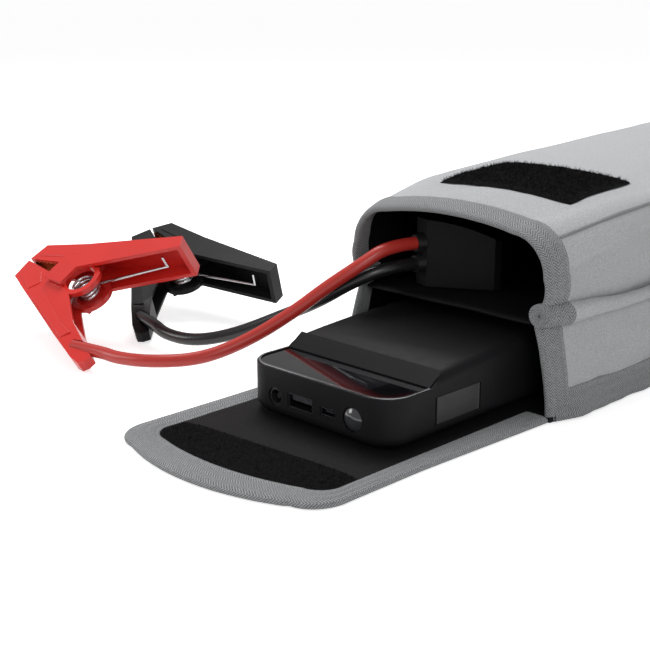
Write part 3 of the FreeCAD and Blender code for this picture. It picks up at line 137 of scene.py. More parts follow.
class Graph:
    """A node tree that is being filled."""

    def __init__(self, tree: bpy.types.NodeTree) -> None:
        """Empties the tree."""
        self.tree = tree
        self.tree.nodes.clear()

    def add(self, kind: str, settings: dict | None = None, inputs: dict | None = None,
            out: int | str = 0) -> Wire | None:
        """Adds any node.

        Args:
            kind: the node's type.
            settings: its properties.
            inputs: values or wires by socket name or number.
            out: which output the wire starts at.

        Returns:
            The wire from that output; None where a node has no outputs.
        """
        node = self.tree.nodes.new(kind)
        for key, value in (settings or {}).items():
            setattr(node, key, value)
        for key, value in (inputs or {}).items():
            self.feed(node.inputs[key], value)
        return Wire(self, node.outputs[out]) if len(node.outputs) else None

    def feed(self, socket: bpy.types.NodeSocket, value: object) -> None:
        """Sets a socket from a wire, a number or a colour.

        Args:
            socket: the input.
            value: what goes into it.
        """
        if isinstance(value, Wire):
            self.tree.links.new(value.socket, socket)
        elif isinstance(value, tuple) and len(value) == 3 and socket.type == "RGBA":
            socket.default_value = (*value, 1.0)
        else:
            socket.default_value = value

    def coordinates(self, kind: str) -> Wire:
        """Texture coordinates in millimetres.

        Args:
            kind: "Object" or "UV".

        Returns:
            The vector.
        """
        source = self.add("ShaderNodeTexCoord", out=kind)
        scale = 1 / MM if kind == "Object" else 1.0
        return self.add("ShaderNodeVectorMath", {"operation": "SCALE"}, {0: source, "Scale": scale})

    def split(self, vector: Wire) -> tuple[Wire, ...]:
        """The three parts of a vector.

        Args:
            vector: the vector.

        Returns:
            Its parts.
        """
        parts = self.add("ShaderNodeSeparateXYZ", None, {0: vector}).socket.node
        return tuple(Wire(self, part) for part in parts.outputs)

    def noise(self, vector: Wire, grain: float, detail: float = 3.0) -> Wire:
        """Noise whose grain is about so many millimetres.

        Args:
            vector: coordinates in millimetres.
            grain: size of one blot.
            detail: octaves.

        Returns:
            The noise, about 0.3 to 0.7.
        """
        return self.add("ShaderNodeTexNoise", None,
                        {"Vector": vector, "Scale": 1.0 / grain, "Detail": detail, "Roughness": 0.55})

    def mix(self, factor: Wire | float, first: object, second: object) -> Wire:
        """A colour between two, by a factor.

        Args:
            factor: 0 gives the first, 1 the second.
            first: a colour or wire.
            second: a colour or wire.

        Returns:
            The mixed colour.
        """
        return self.add("ShaderNodeMix", {"data_type": "RGBA"}, {0: factor, 6: first, 7: second}, out=2)


class MaterialGraph(Graph):
    """The node tree of one material."""

    def __init__(self, name: str) -> None:
        """Starts a material with a Principled shader and its output."""
        self.material = bpy.data.materials.new(name)
        self.material.use_nodes = True
        super().__init__(self.material.node_tree)
        surface = self.add("ShaderNodeBsdfPrincipled")
        self.shader = surface.socket.node
        self.add("ShaderNodeOutputMaterial", None, {"Surface": surface})

    def finish(self, bump: Wire | None = None, depth: float = 0.1, **sockets: object) -> bpy.types.Material:
        """Feeds the shader.

        Args:
            bump: height for a Bump node, if any.
            depth: how many millimetres the height stands for.
            sockets: the shader's inputs, with _ for a space.

        Returns:
            The finished material.
        """
        for key, value in sockets.items():
            self.feed(self.shader.inputs[key.replace("_", " ").title().replace("Ior", "IOR")], value)
        if bump is not None:
            normal = self.add("ShaderNodeBump", None,
                              {"Strength": 1.0, "Distance": depth * MM, "Height": bump})
            self.feed(self.shader.inputs["Normal"], normal)
        return self.material


def shade(colour: Sequence[float], factor: float) -> tuple[float, ...]:
    """A colour made lighter or darker by a factor."""
    return tuple(min(1.0, v * factor) for v in colour)


@dataclass(frozen=True)
class Finish:
    """What a surface is made of; each kind of finish builds its own nodes."""

    slot: str
    colour: tuple[float, float, float]

    def nodes(self, graph: MaterialGraph) -> bpy.types.Material:
        """Builds the nodes; each kind of finish has its own."""
        raise NotImplementedError

    def material(self) -> bpy.types.Material:
        """The finish's material, made once."""
        name = "finish_" + self.slot
        return bpy.data.materials.get(name) or self.nodes(MaterialGraph(name))


@dataclass(frozen=True)
class Woven(Finish):
    """Plain woven cloth, its threads along the piece's own UV map."""

    pitch: float = 0.62
    rough: float = 0.82
    contrast: float = 0.2
    depth: float = 0.16
    sheen: float = 0.12
    specular: float = 0.35

    def nodes(self, graph: MaterialGraph) -> bpy.types.Material:
        """Threads over and under, with soft blotches of tone, random flecks, and painted shade that darkens
        the sunken threads.

        Args:
            graph: the material's graph.

        Returns:
            The material.
        """
        u, v, _ = graph.split(graph.coordinates("UV"))
        vector = graph.coordinates("Object")
        turn = math.pi / self.pitch
        warp = abs((u * turn).maths("SINE"))
        weft = abs((v * turn).maths("SINE"))
        over = abs(((u / self.pitch).maths("FLOOR") + (v / self.pitch).maths("FLOOR")).maths("MODULO", 2.0))
        height = warp * over + weft * (1.0 - over)
        blotch = graph.noise(vector, 22.0, 4.0)
        fleck = graph.noise(vector, 0.5, 2.0)
        low, high = shade(self.colour, 1 - self.contrast), shade(self.colour, 1 + 0.6 * self.contrast)
        # random flecks plus painted shade: sunken threads darker, raised threads lighter, following the
        # weave's height
        fleck_and_thread_shade = (fleck - 0.5) * 3.2 + height * 0.45 + 0.25
        colour = graph.mix(fleck_and_thread_shade, low, high)
        colour = graph.mix(blotch * 0.3, colour, shade(self.colour, 0.8))
        return graph.finish(height * 0.6 + fleck * 1.6, self.depth, base_color=colour,
                            roughness=self.rough - blotch * 0.12, sheen_weight=self.sheen,
                            specular_ior_level=self.specular)


@dataclass(frozen=True)
class Webbing(Finish):
    """Herringbone binding tape with a row of stitches, along the UV map."""

    rib: float = 2.1
    thread: float = 1.15
    stitch: float = 3.2
    stitch_share: float = 0.72
    stitch_line: float = 1.8
    stitch_half: float = 0.28

    def nodes(self, graph: MaterialGraph) -> bpy.types.Material:
        """Slanting threads that turn back at each rib, with painted shade in their hollows and painted
        highlight on their crests, over random flecks.

        Args:
            graph: the material's graph.

        Returns:
            The material.
        """
        u, v, _ = graph.split(graph.coordinates("UV"))
        vector = graph.coordinates("Object")
        zigzag = v.maths("PINGPONG", self.rib)
        height = ((u + zigzag) * (math.tau / self.thread)).maths("SINE") * 0.5 + 0.5
        fleck = graph.noise(vector, 0.6, 2.0)
        line = abs(v - self.stitch_line) < self.stitch_half
        dash = (u / self.stitch).maths("FRACT") < self.stitch_share
        seam = line * dash
        # the tape's tone follows its threads' height: painted shade in the hollows, painted highlight on the
        # crests, plus random flecks
        tone = height * 0.85 + (fleck - 0.5) * 1.3 + 0.05
        colour = graph.mix(tone, shade(self.colour, 0.34), shade(self.colour, 1.38))
        colour = graph.mix(seam, colour, shade(self.colour, 1.1))
        return graph.finish(height + fleck * 0.6 + seam * 1.4 - line * 0.9, 0.3, base_color=colour,
                            roughness=0.86, sheen_weight=0.2)


@dataclass(frozen=True)
class Pile(Finish):
    """Fuzzy hook and loop fastener."""

    def nodes(self, graph: MaterialGraph) -> bpy.types.Material:
        """Curled fibres as noise in height, the same noise painted into the colour as highlight on raised
        fibres and shade between them.

        Args:
            graph: the material's graph.

        Returns:
            The material.
        """
        vector = graph.coordinates("Object")
        curl = graph.noise(vector, 0.55, 5.0)
        clump = graph.noise(vector, 2.4, 3.0)
        # painted highlight on the raised fibres and painted shade between them, from the same noise as the
        # height
        fibre_highlight_and_shade = (curl - 0.42) * 2.6 + (clump - 0.5) * 0.8
        colour = graph.mix(fibre_highlight_and_shade.maths("MINIMUM", 1.0), shade(self.colour, 0.3), shade(self.colour, 3.0))
        return graph.finish(curl + clump, 0.9, base_color=colour, roughness=0.95, specular_ior_level=0.12)


@dataclass(frozen=True)
class Moulded(Finish):
    """Moulded plastic or rubber with a fine grain."""

    rough: float = 0.5
    grain: float = 0.35
    grain_depth: float = 0.012
    coat: float = 0.0
    specular: float = 0.5

    def nodes(self, graph: MaterialGraph) -> bpy.types.Material:
        """Grain, faint mould flow and a little wear in the gloss.

        Args:
            graph: the material's graph.

        Returns:
            The material.
        """
        vector = graph.coordinates("Object")
        grain = graph.noise(vector, self.grain, 2.0)
        flow = graph.noise(vector, 26.0, 3.0)
        rub = graph.noise(vector, 5.0, 5.0)
        colour = graph.mix(flow, shade(self.colour, 0.9), shade(self.colour, 1.1))
        rough = self.rough + (rub - 0.5) * 0.16 + (grain - 0.5) * 0.1
        return graph.finish(grain, self.grain_depth, base_color=colour, roughness=rough,
                            coat_weight=self.coat, coat_roughness=0.12, specular_ior_level=self.specular)


@dataclass(frozen=True)
class Metal(Finish):
    """Bare metal with fine scratches."""

    rough: float = 0.28

    def nodes(self, graph: MaterialGraph) -> bpy.types.Material:
        """Scratches and tarnish.

        Args:
            graph: the material's graph.

        Returns:
            The material.
        """
        vector = graph.coordinates("Object")
        drawn = graph.add("ShaderNodeMapping", None, {"Vector": vector, "Scale": (6.0, 0.6, 6.0)})
        scratch = graph.noise(drawn, 1.2, 4.0)
        stain = graph.noise(vector, 4.0, 4.0)
        colour = graph.mix(stain, shade(self.colour, 0.72), shade(self.colour, 1.15))
        return graph.finish(scratch, 0.01, base_color=colour, metallic=1.0,
                            roughness=self.rough + (stain - 0.5) * 0.25)


@dataclass(frozen=True)
class Glazed(Finish):
    """Polished dark window, with a painted pale reflection laid where the display lies behind it."""

    reflection_x: tuple[float, float] = (-25.0, 21.0)
    reflection_y: tuple[float, float] = (-68.5, -54.0)

    def nodes(self, graph: MaterialGraph) -> bpy.types.Material:
        """A faint grey field of painted reflection where the display lies, under a hard polish.

        Args:
            graph: the material's graph.

        Returns:
            The material.
        """
        vector = graph.coordinates("Object")
        x, y, _ = graph.split(vector)
        # painted reflection: a paler grey field on the window where the display lies
        inside = (x > self.reflection_x[0]) * (x < self.reflection_x[1]) * (y > self.reflection_y[0]) * (y < self.reflection_y[1])
        smear = graph.noise(vector, 9.0, 3.0)
        colour = graph.mix(inside * 0.8, self.colour, shade(self.colour, 2.6))
        return graph.finish(base_color=colour, roughness=smear * 0.05 + 0.015,
                            coat_weight=0.12, coat_roughness=0.02, specular_ior_level=0.2)


GREY_CLOTH = Woven("grey_fabric", (0.49, 0.50, 0.515), contrast=0.26, depth=0.2)
LINING = Woven("black_lining", (0.0045, 0.0045, 0.005), pitch=0.7, rough=0.7, contrast=0.4, depth=0.1,
               sheen=0.0, specular=0.14)
TAPE = Webbing("binding_tape", (0.275, 0.283, 0.292))
PILE = Pile("black_pile", (0.004, 0.004, 0.0044))
SHELL = Moulded("black_shell", (0.009, 0.009, 0.010), rough=0.52, grain=0.3, grain_depth=0.014,
                specular=0.1)
WINDOW = Glazed("display_black", (0.004, 0.004, 0.005))
SILVER = Metal("silver_trim", (0.26, 0.26, 0.27), rough=0.24)
RED_PLASTIC = Moulded("red_plastic", (0.62, 0.020, 0.014), rough=0.34, grain=0.6, grain_depth=0.008,
                      coat=0.15)
DARK_PLASTIC = Moulded("clamp_black", (0.009, 0.009, 0.0095), rough=0.42, grain=0.6, grain_depth=0.008,
                       specular=0.12)
RED_SLEEVE = Moulded("red_cable_sleeve", (0.46, 0.030, 0.022), rough=0.34, grain=1.2, grain_depth=0.01)
BLACK_SLEEVE = Moulded("black_cable_sleeve", (0.010, 0.010, 0.011), rough=0.3, grain=1.2, grain_depth=0.01)
COPPER = Metal("copper", (0.62, 0.25, 0.13), rough=0.3)
WIRE = Metal("spring_steel", (0.62, 0.62, 0.64), rough=0.18)
CONNECTOR = Metal("connector_steel", (0.09, 0.09, 0.10), rough=0.4)
LENS = Moulded("clear_lens", (0.035, 0.036, 0.04), rough=0.16, grain_depth=0.0, coat=0.7)
LED = Moulded("led_white", (0.85, 0.80, 0.55), rough=0.3)
BOARD = Moulded("board_green", (0.015, 0.12, 0.045), rough=0.35)
FOIL = Metal("cell_silver", (0.6, 0.6, 0.62), rough=0.4)
SOCKET = Moulded("socket_blue", (0.02, 0.05, 0.26), rough=0.35)
RELAY = Moulded("relay_black", (0.015, 0.015, 0.016), rough=0.25)
GOLD = Metal("gold_contact", (0.75, 0.52, 0.2), rough=0.25)
SCREW = Metal("screw_steel", (0.3, 0.3, 0.31), rough=0.35)
PORT_RUBBER = Moulded("port_rubber", (0.013, 0.013, 0.014), rough=0.55)
SLEEVES = {Pole.RED: RED_SLEEVE, Pole.BLACK: BLACK_SLEEVE}
PLASTICS = {Pole.RED: RED_PLASTIC, Pole.BLACK: DARK_PLASTIC}


# Meshes

def woven_grid(rows: Sequence[Sequence[Point]]) -> bmesh.types.BMesh:
    """A grid whose corners are laid on given points, its UV map the lengths along it in millimetres.

    Args:
        rows: rows of points, in millimetres.

    Returns:
        The mesh, with doubled points merged and its faces turned outwards.
    """
    tall, wide = len(rows), len(rows[0])
    along, across = [0.0], [0.0]
    middle = rows[tall // 2]
    for a, b in zip(middle, middle[1:]):
        along.append(along[-1] + math.dist(a, b))
    for a, b in zip(rows, rows[1:]):
        across.append(across[-1] + math.dist(a[wide // 3], b[wide // 3]))
    mesh = bmesh.new()
    bmesh.ops.create_grid(mesh, x_segments=wide - 1, y_segments=tall - 1, size=1.0)
    layer = mesh.loops.layers.uv.verify()
    spots = {}
    for vert in mesh.verts:
        column = round((vert.co.x + 1) / 2 * (wide - 1))
        row = round((vert.co.y + 1) / 2 * (tall - 1))
        spots[vert] = (row, column)
    for face in mesh.faces:
        for loop in face.loops:
            row, column = spots[loop.vert]
            loop[layer].uv = (along[column], across[row])
    for vert, (row, column) in spots.items():
        vert.co = rows[row][column]
    bmesh.ops.remove_doubles(mesh, verts=mesh.verts, dist=WELD)
    bmesh.ops.recalc_face_normals(mesh, faces=mesh.faces)
    return mesh


def arc(start: Sequence[float], middle: Sequence[float], end: Sequence[float], count: int
        ) -> list[tuple[float, float]]:
    """Points on the arc through three points.

    Args:
        start: first point.
        middle: a point it passes.
        end: last point.
        count: how many points, the last one left off.

    Returns:
        The points.
    """
    (ax, ay), (bx, by), (cx, cy) = start, middle, end
    d = 2 * (ax * (by - cy) + bx * (cy - ay) + cx * (ay - by))
    if abs(d) < 1e-6:
        return [(ax + (cx - ax) * i / count, ay + (cy - ay) * i / count) for i in range(count)]
    a2, b2, c2 = ax * ax + ay * ay, bx * bx + by * by, cx * cx + cy * cy
    ox = (a2 * (by - cy) + b2 * (cy - ay) + c2 * (ay - by)) / d
    oy = (a2 * (cx - bx) + b2 * (ax - cx) + c2 * (bx - ax)) / d
    r = math.hypot(ax - ox, ay - oy)
    first = math.atan2(ay - oy, ax - ox)
    turn = math.remainder(math.atan2(cy - oy, cx - ox) - first, math.tau)
    past = math.remainder(math.atan2(by - oy, bx - ox) - first, math.tau)
    if past * turn < 0:
        turn -= math.copysign(math.tau, turn)
    return [(ox + r * math.cos(first + turn * i / count), oy + r * math.sin(first + turn * i / count))
            for i in range(count)]


def share(value: float) -> float:
    """A value held between 0 and 1."""
    return min(1.0, max(0.0, value))


def read_off(line: Sequence[tuple[float, float]], at: float, given: int = 0) -> float:
    """Reads a line's other coordinate where one of them, on a rising stretch, has a value.

    Args:
        line: points of the line.
        at: the value.
        given: which coordinate has it.

    Returns:
        The other coordinate; the first point's where none has the value.
    """
    other = 1 - given
    for a, b in zip(line, line[1:]):
        if a[given] <= at <= b[given]:
            span = b[given] - a[given] or 1.0
            return a[other] + (b[other] - a[other]) * (at - a[given]) / span
    return line[0][other]


def ripple(x: float, y: float, z: float, grain: float) -> float:
    """Smooth noise about a point, from -1 to 1, with folds of about a grain's size."""
    return noise.noise(Vector((x, y, z)) / grain)


def add_fibres(mesh: bmesh.types.BMesh, rows: Sequence[Sequence[Point]], count: int, length: float) -> None:
    """Stands loose fibres on a strip of pile.

    Args:
        mesh: the strip's mesh.
        rows: the points of its face.
        count: how many fibres.
        length: their middling length.
    """
    for _ in range(count):
        root = Vector(random.choice(random.choice(rows[1:-1])[1:-1])) - Vector((0.0, 0.0, FIBRE_ROOT))
        lean = Vector((random.gauss(0.0, FIBRE_LEAN), random.gauss(0.0, FIBRE_LEAN), 1.0)).normalized()
        across = lean.cross(Vector((random.gauss(0.0, 1.0), random.gauss(0.0, 1.0), 0.2)))
        across = across.normalized() * FIBRE_HALF
        tip = root + lean * length * (0.5 + random.random())
        mesh.faces.new([mesh.verts.new(point) for point in (root - across, root + across, tip)])


def placed(name: str, data: bpy.types.ID) -> bpy.types.Object:
    """Puts a new object in the scene.

    Args:
        name: its name.
        data: its mesh, curve, light or camera.

    Returns:
        The object.
    """
    thing = bpy.data.objects.new(name, data)
    bpy.context.scene.collection.objects.link(thing)
    return thing


@dataclass
class Maker:
    """Turns meshes into pieces that ride on the frame."""

    smooth_angle: float = 38.0
    bevel_angle: float = 32.0
    bevel_segments: int = 3
    flat_angle: float = 1.0
    same_place: float = 0.00001
    made: int = 0

    def piece(self, name: str, mesh: bmesh.types.BMesh, finishes: Sequence[Finish], body: str | None,
              replaces: Sequence[str] = (), wall: float = 0.0, rounding: float = 0.0,
              levels: int = 0) -> bpy.types.Object:
        """Makes an object from a mesh in millimetres.

        Args:
            name: the piece's name.
            mesh: its mesh, which is freed.
            finishes: its finishes; the second one goes on the inside of a wall.
            body: the body it rides on; None leaves it unattached.
            replaces: CAD nodes that it stands for.
            wall: thickness given inwards.
            rounding: width of a bevel on its sharp edges.
            levels: of subdivision.

        Returns:
            The object.
        """
        data = bpy.data.meshes.new(name)
        bmesh.ops.scale(mesh, vec=(MM, MM, MM), verts=mesh.verts)
        mesh.to_mesh(data)
        mesh.free()
        thing = placed(name, data)
        self.dress(thing, finishes)
        if wall:
            solid = thing.modifiers.new("wall", "SOLIDIFY")
            solid.thickness = wall * MM
            solid.offset = -1.0
            solid.material_offset = len(finishes) - 1
            solid.material_offset_rim = 0
        if rounding:
            bevel = thing.modifiers.new("rounding", "BEVEL")
            bevel.width = rounding * MM
            bevel.segments = self.bevel_segments
            bevel.limit_method = "ANGLE"
            bevel.angle_limit = math.radians(self.bevel_angle)
        if levels:
            divide = thing.modifiers.new("soften", "SUBSURF")
            divide.levels = levels
            divide.render_levels = levels
        if replaces:
            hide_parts(*replaces)
        if body:
            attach(thing, body)
        self.made += 1
        LOG.info("%s: %d faces", name, len(data.polygons))
        return thing

    def dress(self, thing: bpy.types.Object, finishes: Sequence[Finish]) -> None:
        """Gives a piece its materials and smooth shading.

        Args:
            thing: the piece.
            finishes: its finishes.
        """
        thing.data.materials.clear()
        for finish in finishes:
            thing.data.materials.append(finish.material())
        if hasattr(thing.data, "set_sharp_from_angle"):
            thing.data.shade_smooth()
            thing.data.set_sharp_from_angle(angle=math.radians(self.smooth_angle))

    def softened(self, node: str, finish: Finish, body: str, rounding: float) -> bpy.types.Object:
        """A copy of a CAD node with its edges rounded, which stands for it.

        Args:
            node: the CAD node.
            finish: its finish.
            body: the body it rides on.
            rounding: width of the rounding, in millimetres.

        Returns:
            The piece.
        """
        mesh = bmesh.new()
        mesh.from_mesh(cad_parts[node].data)
        bmesh.ops.remove_doubles(mesh, verts=mesh.verts, dist=self.same_place)
        bmesh.ops.dissolve_limit(mesh, angle_limit=math.radians(self.flat_angle), verts=mesh.verts,
                                 edges=mesh.edges)
        bmesh.ops.scale(mesh, vec=(1 / MM, 1 / MM, 1 / MM), verts=mesh.verts)
        return self.piece(node + "_moulding", mesh, [finish], body, [node], rounding=rounding)


MAKER = Maker()


# Pouch

@dataclass(frozen=True)
class Creases:
    """The walls' soft folds and sharp creases, strongest on the flanks just behind the mouth."""

    height: float = 1.1
    fold: float = 23.0
    small_fold: float = 8.0
    small_share: float = 0.6
    crease: float = 17.0
    crease_width: float = 0.35
    crease_depth: float = 2.2
    foot_run: float = 12.0
    front: float = 8.0
    front_run: float = 25.0
    crown_gap: float = 10.0
    crown_run: float = 18.0
    crown_share: float = 0.25
    middle: float = 25.0
    reach: float = 60.0

    def lift(self, x: float, y: float, z: float, foot: float, top: float) -> float:
        """How far the cloth stands out from its smooth form.

        Args:
            x: place across the pouch.
            y: distance from the mouth.
            z: height.
            foot: height of the base.
            top: height of the crown at y.

        Returns:
            The distance.
        """
        free = share((z - foot) / self.foot_run) * share((y - self.front) / self.front_run)
        flank = share((top - self.crown_gap - z) / self.crown_run)
        flank = self.crown_share + (1.0 - self.crown_share) * flank
        near = 0.6 + 0.8 * max(0.0, 1.0 - abs(y - self.middle) / self.reach)
        folds = ripple(x, y * 0.6, z, self.fold) + self.small_share * ripple(x, y, z, self.small_fold)
        line = abs(ripple(z - 0.5 * y, y * 0.4, x, self.crease))
        creases = self.crease_depth * max(0.0, self.crease_width - line)
        return self.height * free * flank * near * (folds - creases)


@dataclass
class Pouch:
    """The sewn pouch: padded walls, divider, binding tape, side folds and fastener patch."""

    half_width: float = 57.0
    mouth_half: float = 50.5
    height: float = 86.0
    mouth_height: float = 76.5
    rear_height: float = 91.0
    depth: float = 250.0
    wall: float = 1.6
    base: float = 2.7
    base_round: float = 0.8
    waist_height: float = 42.0
    waist_depth: float = 2.6
    crown_drop: float = 3.2
    shoulder_lean: float = 0.8
    mouth_round: float = 17.0
    body_round: float = 9.0
    neck: float = 12.0
    neck_spread: float = 0.45
    neck_rise: float = 0.3
    body_start: float = 45.0
    body_dip: float = 2.5
    rear_run: float = 15.0
    rear_draw: float = 1.5
    flare: float = 3.0
    lobe_steps: int = 18
    side_steps: int = 14
    round_steps: int = 12
    crown_steps: int = 22
    divider_top: float = 38.0
    divider_wall: float = 1.2
    divider_front: float = 3.4
    divider_gap: float = 0.7
    patch_half: float = 34.0
    patch_shift: float = 3.5
    patch_front: float = 31.0
    patch_length: float = 46.0
    patch_fibres: int = 6000
    patch_fibre: float = 1.5
    patch_fuzz: float = 0.9
    patch_stand: float = 0.25
    patch_pile: float = 0.75
    creases: Creases = Creases()
    lift_centre: float = 30.0
    mouth_pinch: float = 3.2
    pinch_run: float = 40.0
    tape_wave: float = 0.22
    tape_gather: float = 0.75
    gather_below: float = 8.0
    gather_reach: float = 22.0
    roll: float = 4.5
    roll_out: float = 2.9
    roll_flat: float = 0.95
    roll_slim: float = 0.62
    seam_at: int = 38
    seam_half: float = 0.85
    seam_rise: float = 0.8
    foot_profile: Outline = (
        (0.5, 1.6), (1.0, 2.9), (2.4, 3.1), (4.5, 2.4), (7.0, 1.5), (10.0, 1.1), (12.4, 0.7), (12.8, -0.3))
    mouth_fold: Outline = (
        (10.2, 0.15), (10.0, 0.8), (7.5, 1.0), (4.0, 1.05), (1.2, 1.0), (-0.3, 0.6), (-0.9, -0.5),
        (-0.4, -1.8), (1.2, -2.35), (4.0, -2.5), (8.0, -2.4), (10.0, -2.3), (10.2, -1.8))

    def station(self, y: float) -> tuple[float, float, float]:
        """Half width, height and corner round of the outline at y.

        Args:
            y: distance from the mouth.

        Returns:
            The three sizes.
        """
        rows = [(0.0, self.mouth_half, self.mouth_height, self.mouth_round),
                (self.neck, self.mouth_half + self.neck_spread * (self.half_width - self.mouth_half),
                 self.mouth_height + self.neck_rise * (self.height - self.mouth_height), self.mouth_round),
                (self.body_start, self.half_width, self.height - self.body_dip, 1.5 * self.body_round),
                (0.45 * self.depth, self.half_width, self.height, self.body_round),
                (self.depth - self.rear_run, self.half_width, self.rear_height, self.body_round),
                (self.depth, self.half_width - self.rear_draw, self.rear_height - self.rear_draw,
                 self.body_round)]
        y = max(0.0, min(self.depth, y))
        a, b = next((a, b) for a, b in zip(rows, rows[1:]) if y <= b[0])
        t = (y - a[0]) / (b[0] - a[0])
        return tuple(p + (q - p) * t for p, q in zip(a[1:], b[1:]))

    def drawn(self, y: float) -> float:
        """How far the waist is drawn in near the mouth.

        Args:
            y: distance from the mouth.

        Returns:
            Depth, on top of the waist's own.
        """
        return self.mouth_pinch * max(0.0, 1.0 - max(0.0, y) / self.pinch_run) ** 2

    def outline(self, y: float, out: float) -> list[tuple[float, float]]:
        """The two-lobed outline from the right foot over the crown to the left foot.

        Args:
            y: distance from the mouth.
            out: how far outside the cloth's face.

        Returns:
            Points X, Z.
        """
        half, height, corner = self.station(y)
        side, top = half + out, height - self.crown_drop + out
        r = corner + out
        k = r * (1 - math.sqrt(0.5))
        foot = min(half + self.flare, self.half_width - 0.5) + out
        waist = (side - self.waist_depth - self.drawn(y), self.waist_height)
        shoulder_x = side - self.shoulder_lean
        shoulder, crown_edge = (shoulder_x, top - r), (shoulder_x - r, top)
        right = arc((foot, self.base), (side, 0.55 * self.waist_height), waist, self.lobe_steps)
        right += arc(waist, (side, 0.5 * (self.waist_height + top - r)), shoulder, self.side_steps)
        right += arc(shoulder, (shoulder_x - k, top - k), crown_edge, self.round_steps)
        crown = arc(crown_edge, (0.0, height + out), (-crown_edge[0], top), 2 * self.crown_steps)
        right += crown[:self.crown_steps]
        return right + [(0.0, height + out)] + [(-x, z) for x, z in reversed(right)]

    def creased_row(self, y: float) -> list[Point]:
        """One row of the cloth, with its creases.

        Args:
            y: distance from the mouth.

        Returns:
            Points.
        """
        row = []
        top = self.station(y)[1]
        for x, z in self.outline(y, 0.0):
            away = Vector((x, 0.0, max(0.0, z - self.lift_centre))).normalized()
            away *= self.creases.lift(x, y, z, self.base, top)
            row.append((x + away.x, y, z + away.z))
        return row

    def end_row(self, y: float, shrink: float) -> list[Point]:
        """One row of the closed end.

        Args:
            y: distance from the mouth.
            shrink: share of the outline.

        Returns:
            Points.
        """
        return [(x * shrink, y, self.base + (z - self.base) * shrink) for x, z in self.outline(y, 0.0)]

    def make_walls(self) -> None:
        """The outer cloth, lined in black, closed behind."""
        ys = [0.4, 3, 6, 9] + [12 + 6 * i for i in range(38)]
        ys += [self.depth - 6, self.depth - 2, self.depth - 0.4]
        rows = [self.creased_row(y) for y in ys]
        rows.append(self.end_row(self.depth - 0.1, 0.985))
        rows += [self.end_row(self.depth, shrink) for shrink in (0.95, 0.8, 0.55, 0.3, 0.1, 0.004)]
        MAKER.piece("pouch_walls", woven_grid(rows), [GREY_CLOTH, LINING], "pouch",
                    ["top_panel", "left_gusset", "right_gusset", "end_panel"], wall=self.wall)

    def make_base(self) -> None:
        """The stiffened base, covered in lining."""
        foot = self.half_width - 0.1
        front = self.mouth_half + self.flare + 0.6
        right = [(front, 0.2), (foot, self.body_start), (foot, self.depth - self.rear_run),
                 (foot - self.rear_draw, self.depth)]
        plan = [(-front, 0.2)] + right + [(-x, y) for x, y in reversed(right[1:])]
        mesh = bmesh.new()
        face = mesh.faces.new([mesh.verts.new((x, y, 0.0)) for x, y in plan])
        top = bmesh.ops.extrude_face_region(mesh, geom=[face])
        raised = [v for v in top["geom"] if isinstance(v, bmesh.types.BMVert)]
        bmesh.ops.translate(mesh, vec=(0, 0, self.base), verts=raised)
        bmesh.ops.recalc_face_normals(mesh, faces=mesh.faces)
        layer = mesh.loops.layers.uv.verify()
        for each in mesh.faces:
            for loop in each.loops:
                loop[layer].uv = (loop.vert.co.x + loop.vert.co.z, loop.vert.co.y)
        MAKER.piece("pouch_base", mesh, [LINING], "pouch", ["base_panel"], rounding=self.base_round)

    def make_divider(self) -> None:
        """The cloth shelf between the two compartments."""
        deep, wide = 49, 20
        rows = []
        for i in range(deep + 1):
            y = self.divider_front + (self.depth - 6.0) * i / deep
            half = self.station(y)[0] - self.waist_depth - self.wall - self.divider_gap
            row = []
            for j in range(2 * wide + 1):
                x = half * (j / wide - 1)
                dip = 0.5 * ripple(x, y, 3.0, 24.0) * (1 - (x / half) ** 2)
                row.append((x, y, self.divider_top - 0.35 + min(0.2, dip)))
            rows.append(row)
        MAKER.piece("pouch_divider", woven_grid(rows), [LINING], "pouch", ["divider_panel"],
                    wall=self.divider_wall)

    def make_binding(self) -> None:
        """Tape folded over the mouth's edge."""
        rows = []
        for y, out in self.mouth_fold:
            row = []
            for x, z in self.outline(y, out):
                wave = self.tape_wave * ripple(x, 0.0, z, 7.0)
                near_waist = math.exp(-((z - self.waist_height + self.gather_below) / self.gather_reach) ** 2)
                gather = self.tape_gather * near_waist * ripple(x, 0.0, z, 3.4)
                out_x = math.copysign(gather if out > 0.0 else 0.0, x)
                row.append((x + out_x, y + 0.6 * wave + 0.6 * gather, max(self.base + 0.1, z) + 0.4 * wave))
            rows.append(row)
        MAKER.piece("mouth_binding_tape", woven_grid(rows), [TAPE], "pouch", ["mouth_binding"],
                    levels=1)

    def skin_strip(self, side: Side, heights: Sequence[tuple[float, float]], first: float, last: float
                   ) -> bmesh.types.BMesh:
        """A strip along a side wall.

        Args:
            side: which wall.
            heights: height and stand-off of each line of the strip.
            first: Y of its start.
            last: Y of its end.

        Returns:
            The strip's mesh.
        """
        count = 60
        side_points = self.lobe_steps + self.side_steps + self.round_steps
        rows = []
        for height, out in heights:
            row = []
            for i in range(count + 1):
                y = first + (last - first) * i / count
                x = read_off(self.outline(y, 0.0)[:side_points], height, given=1)
                taper = min(1.0, 0.5 + (y - first) / 20) + 0.3 * ripple(0.0, y, 0.0, 11.0)
                wave = 0.25 * ripple(0.0, y, height, 13.0)
                row.append((side.value * (x + out * taper), y, max(0.1, height + wave)))
            rows.append(row)
        return woven_grid(rows)

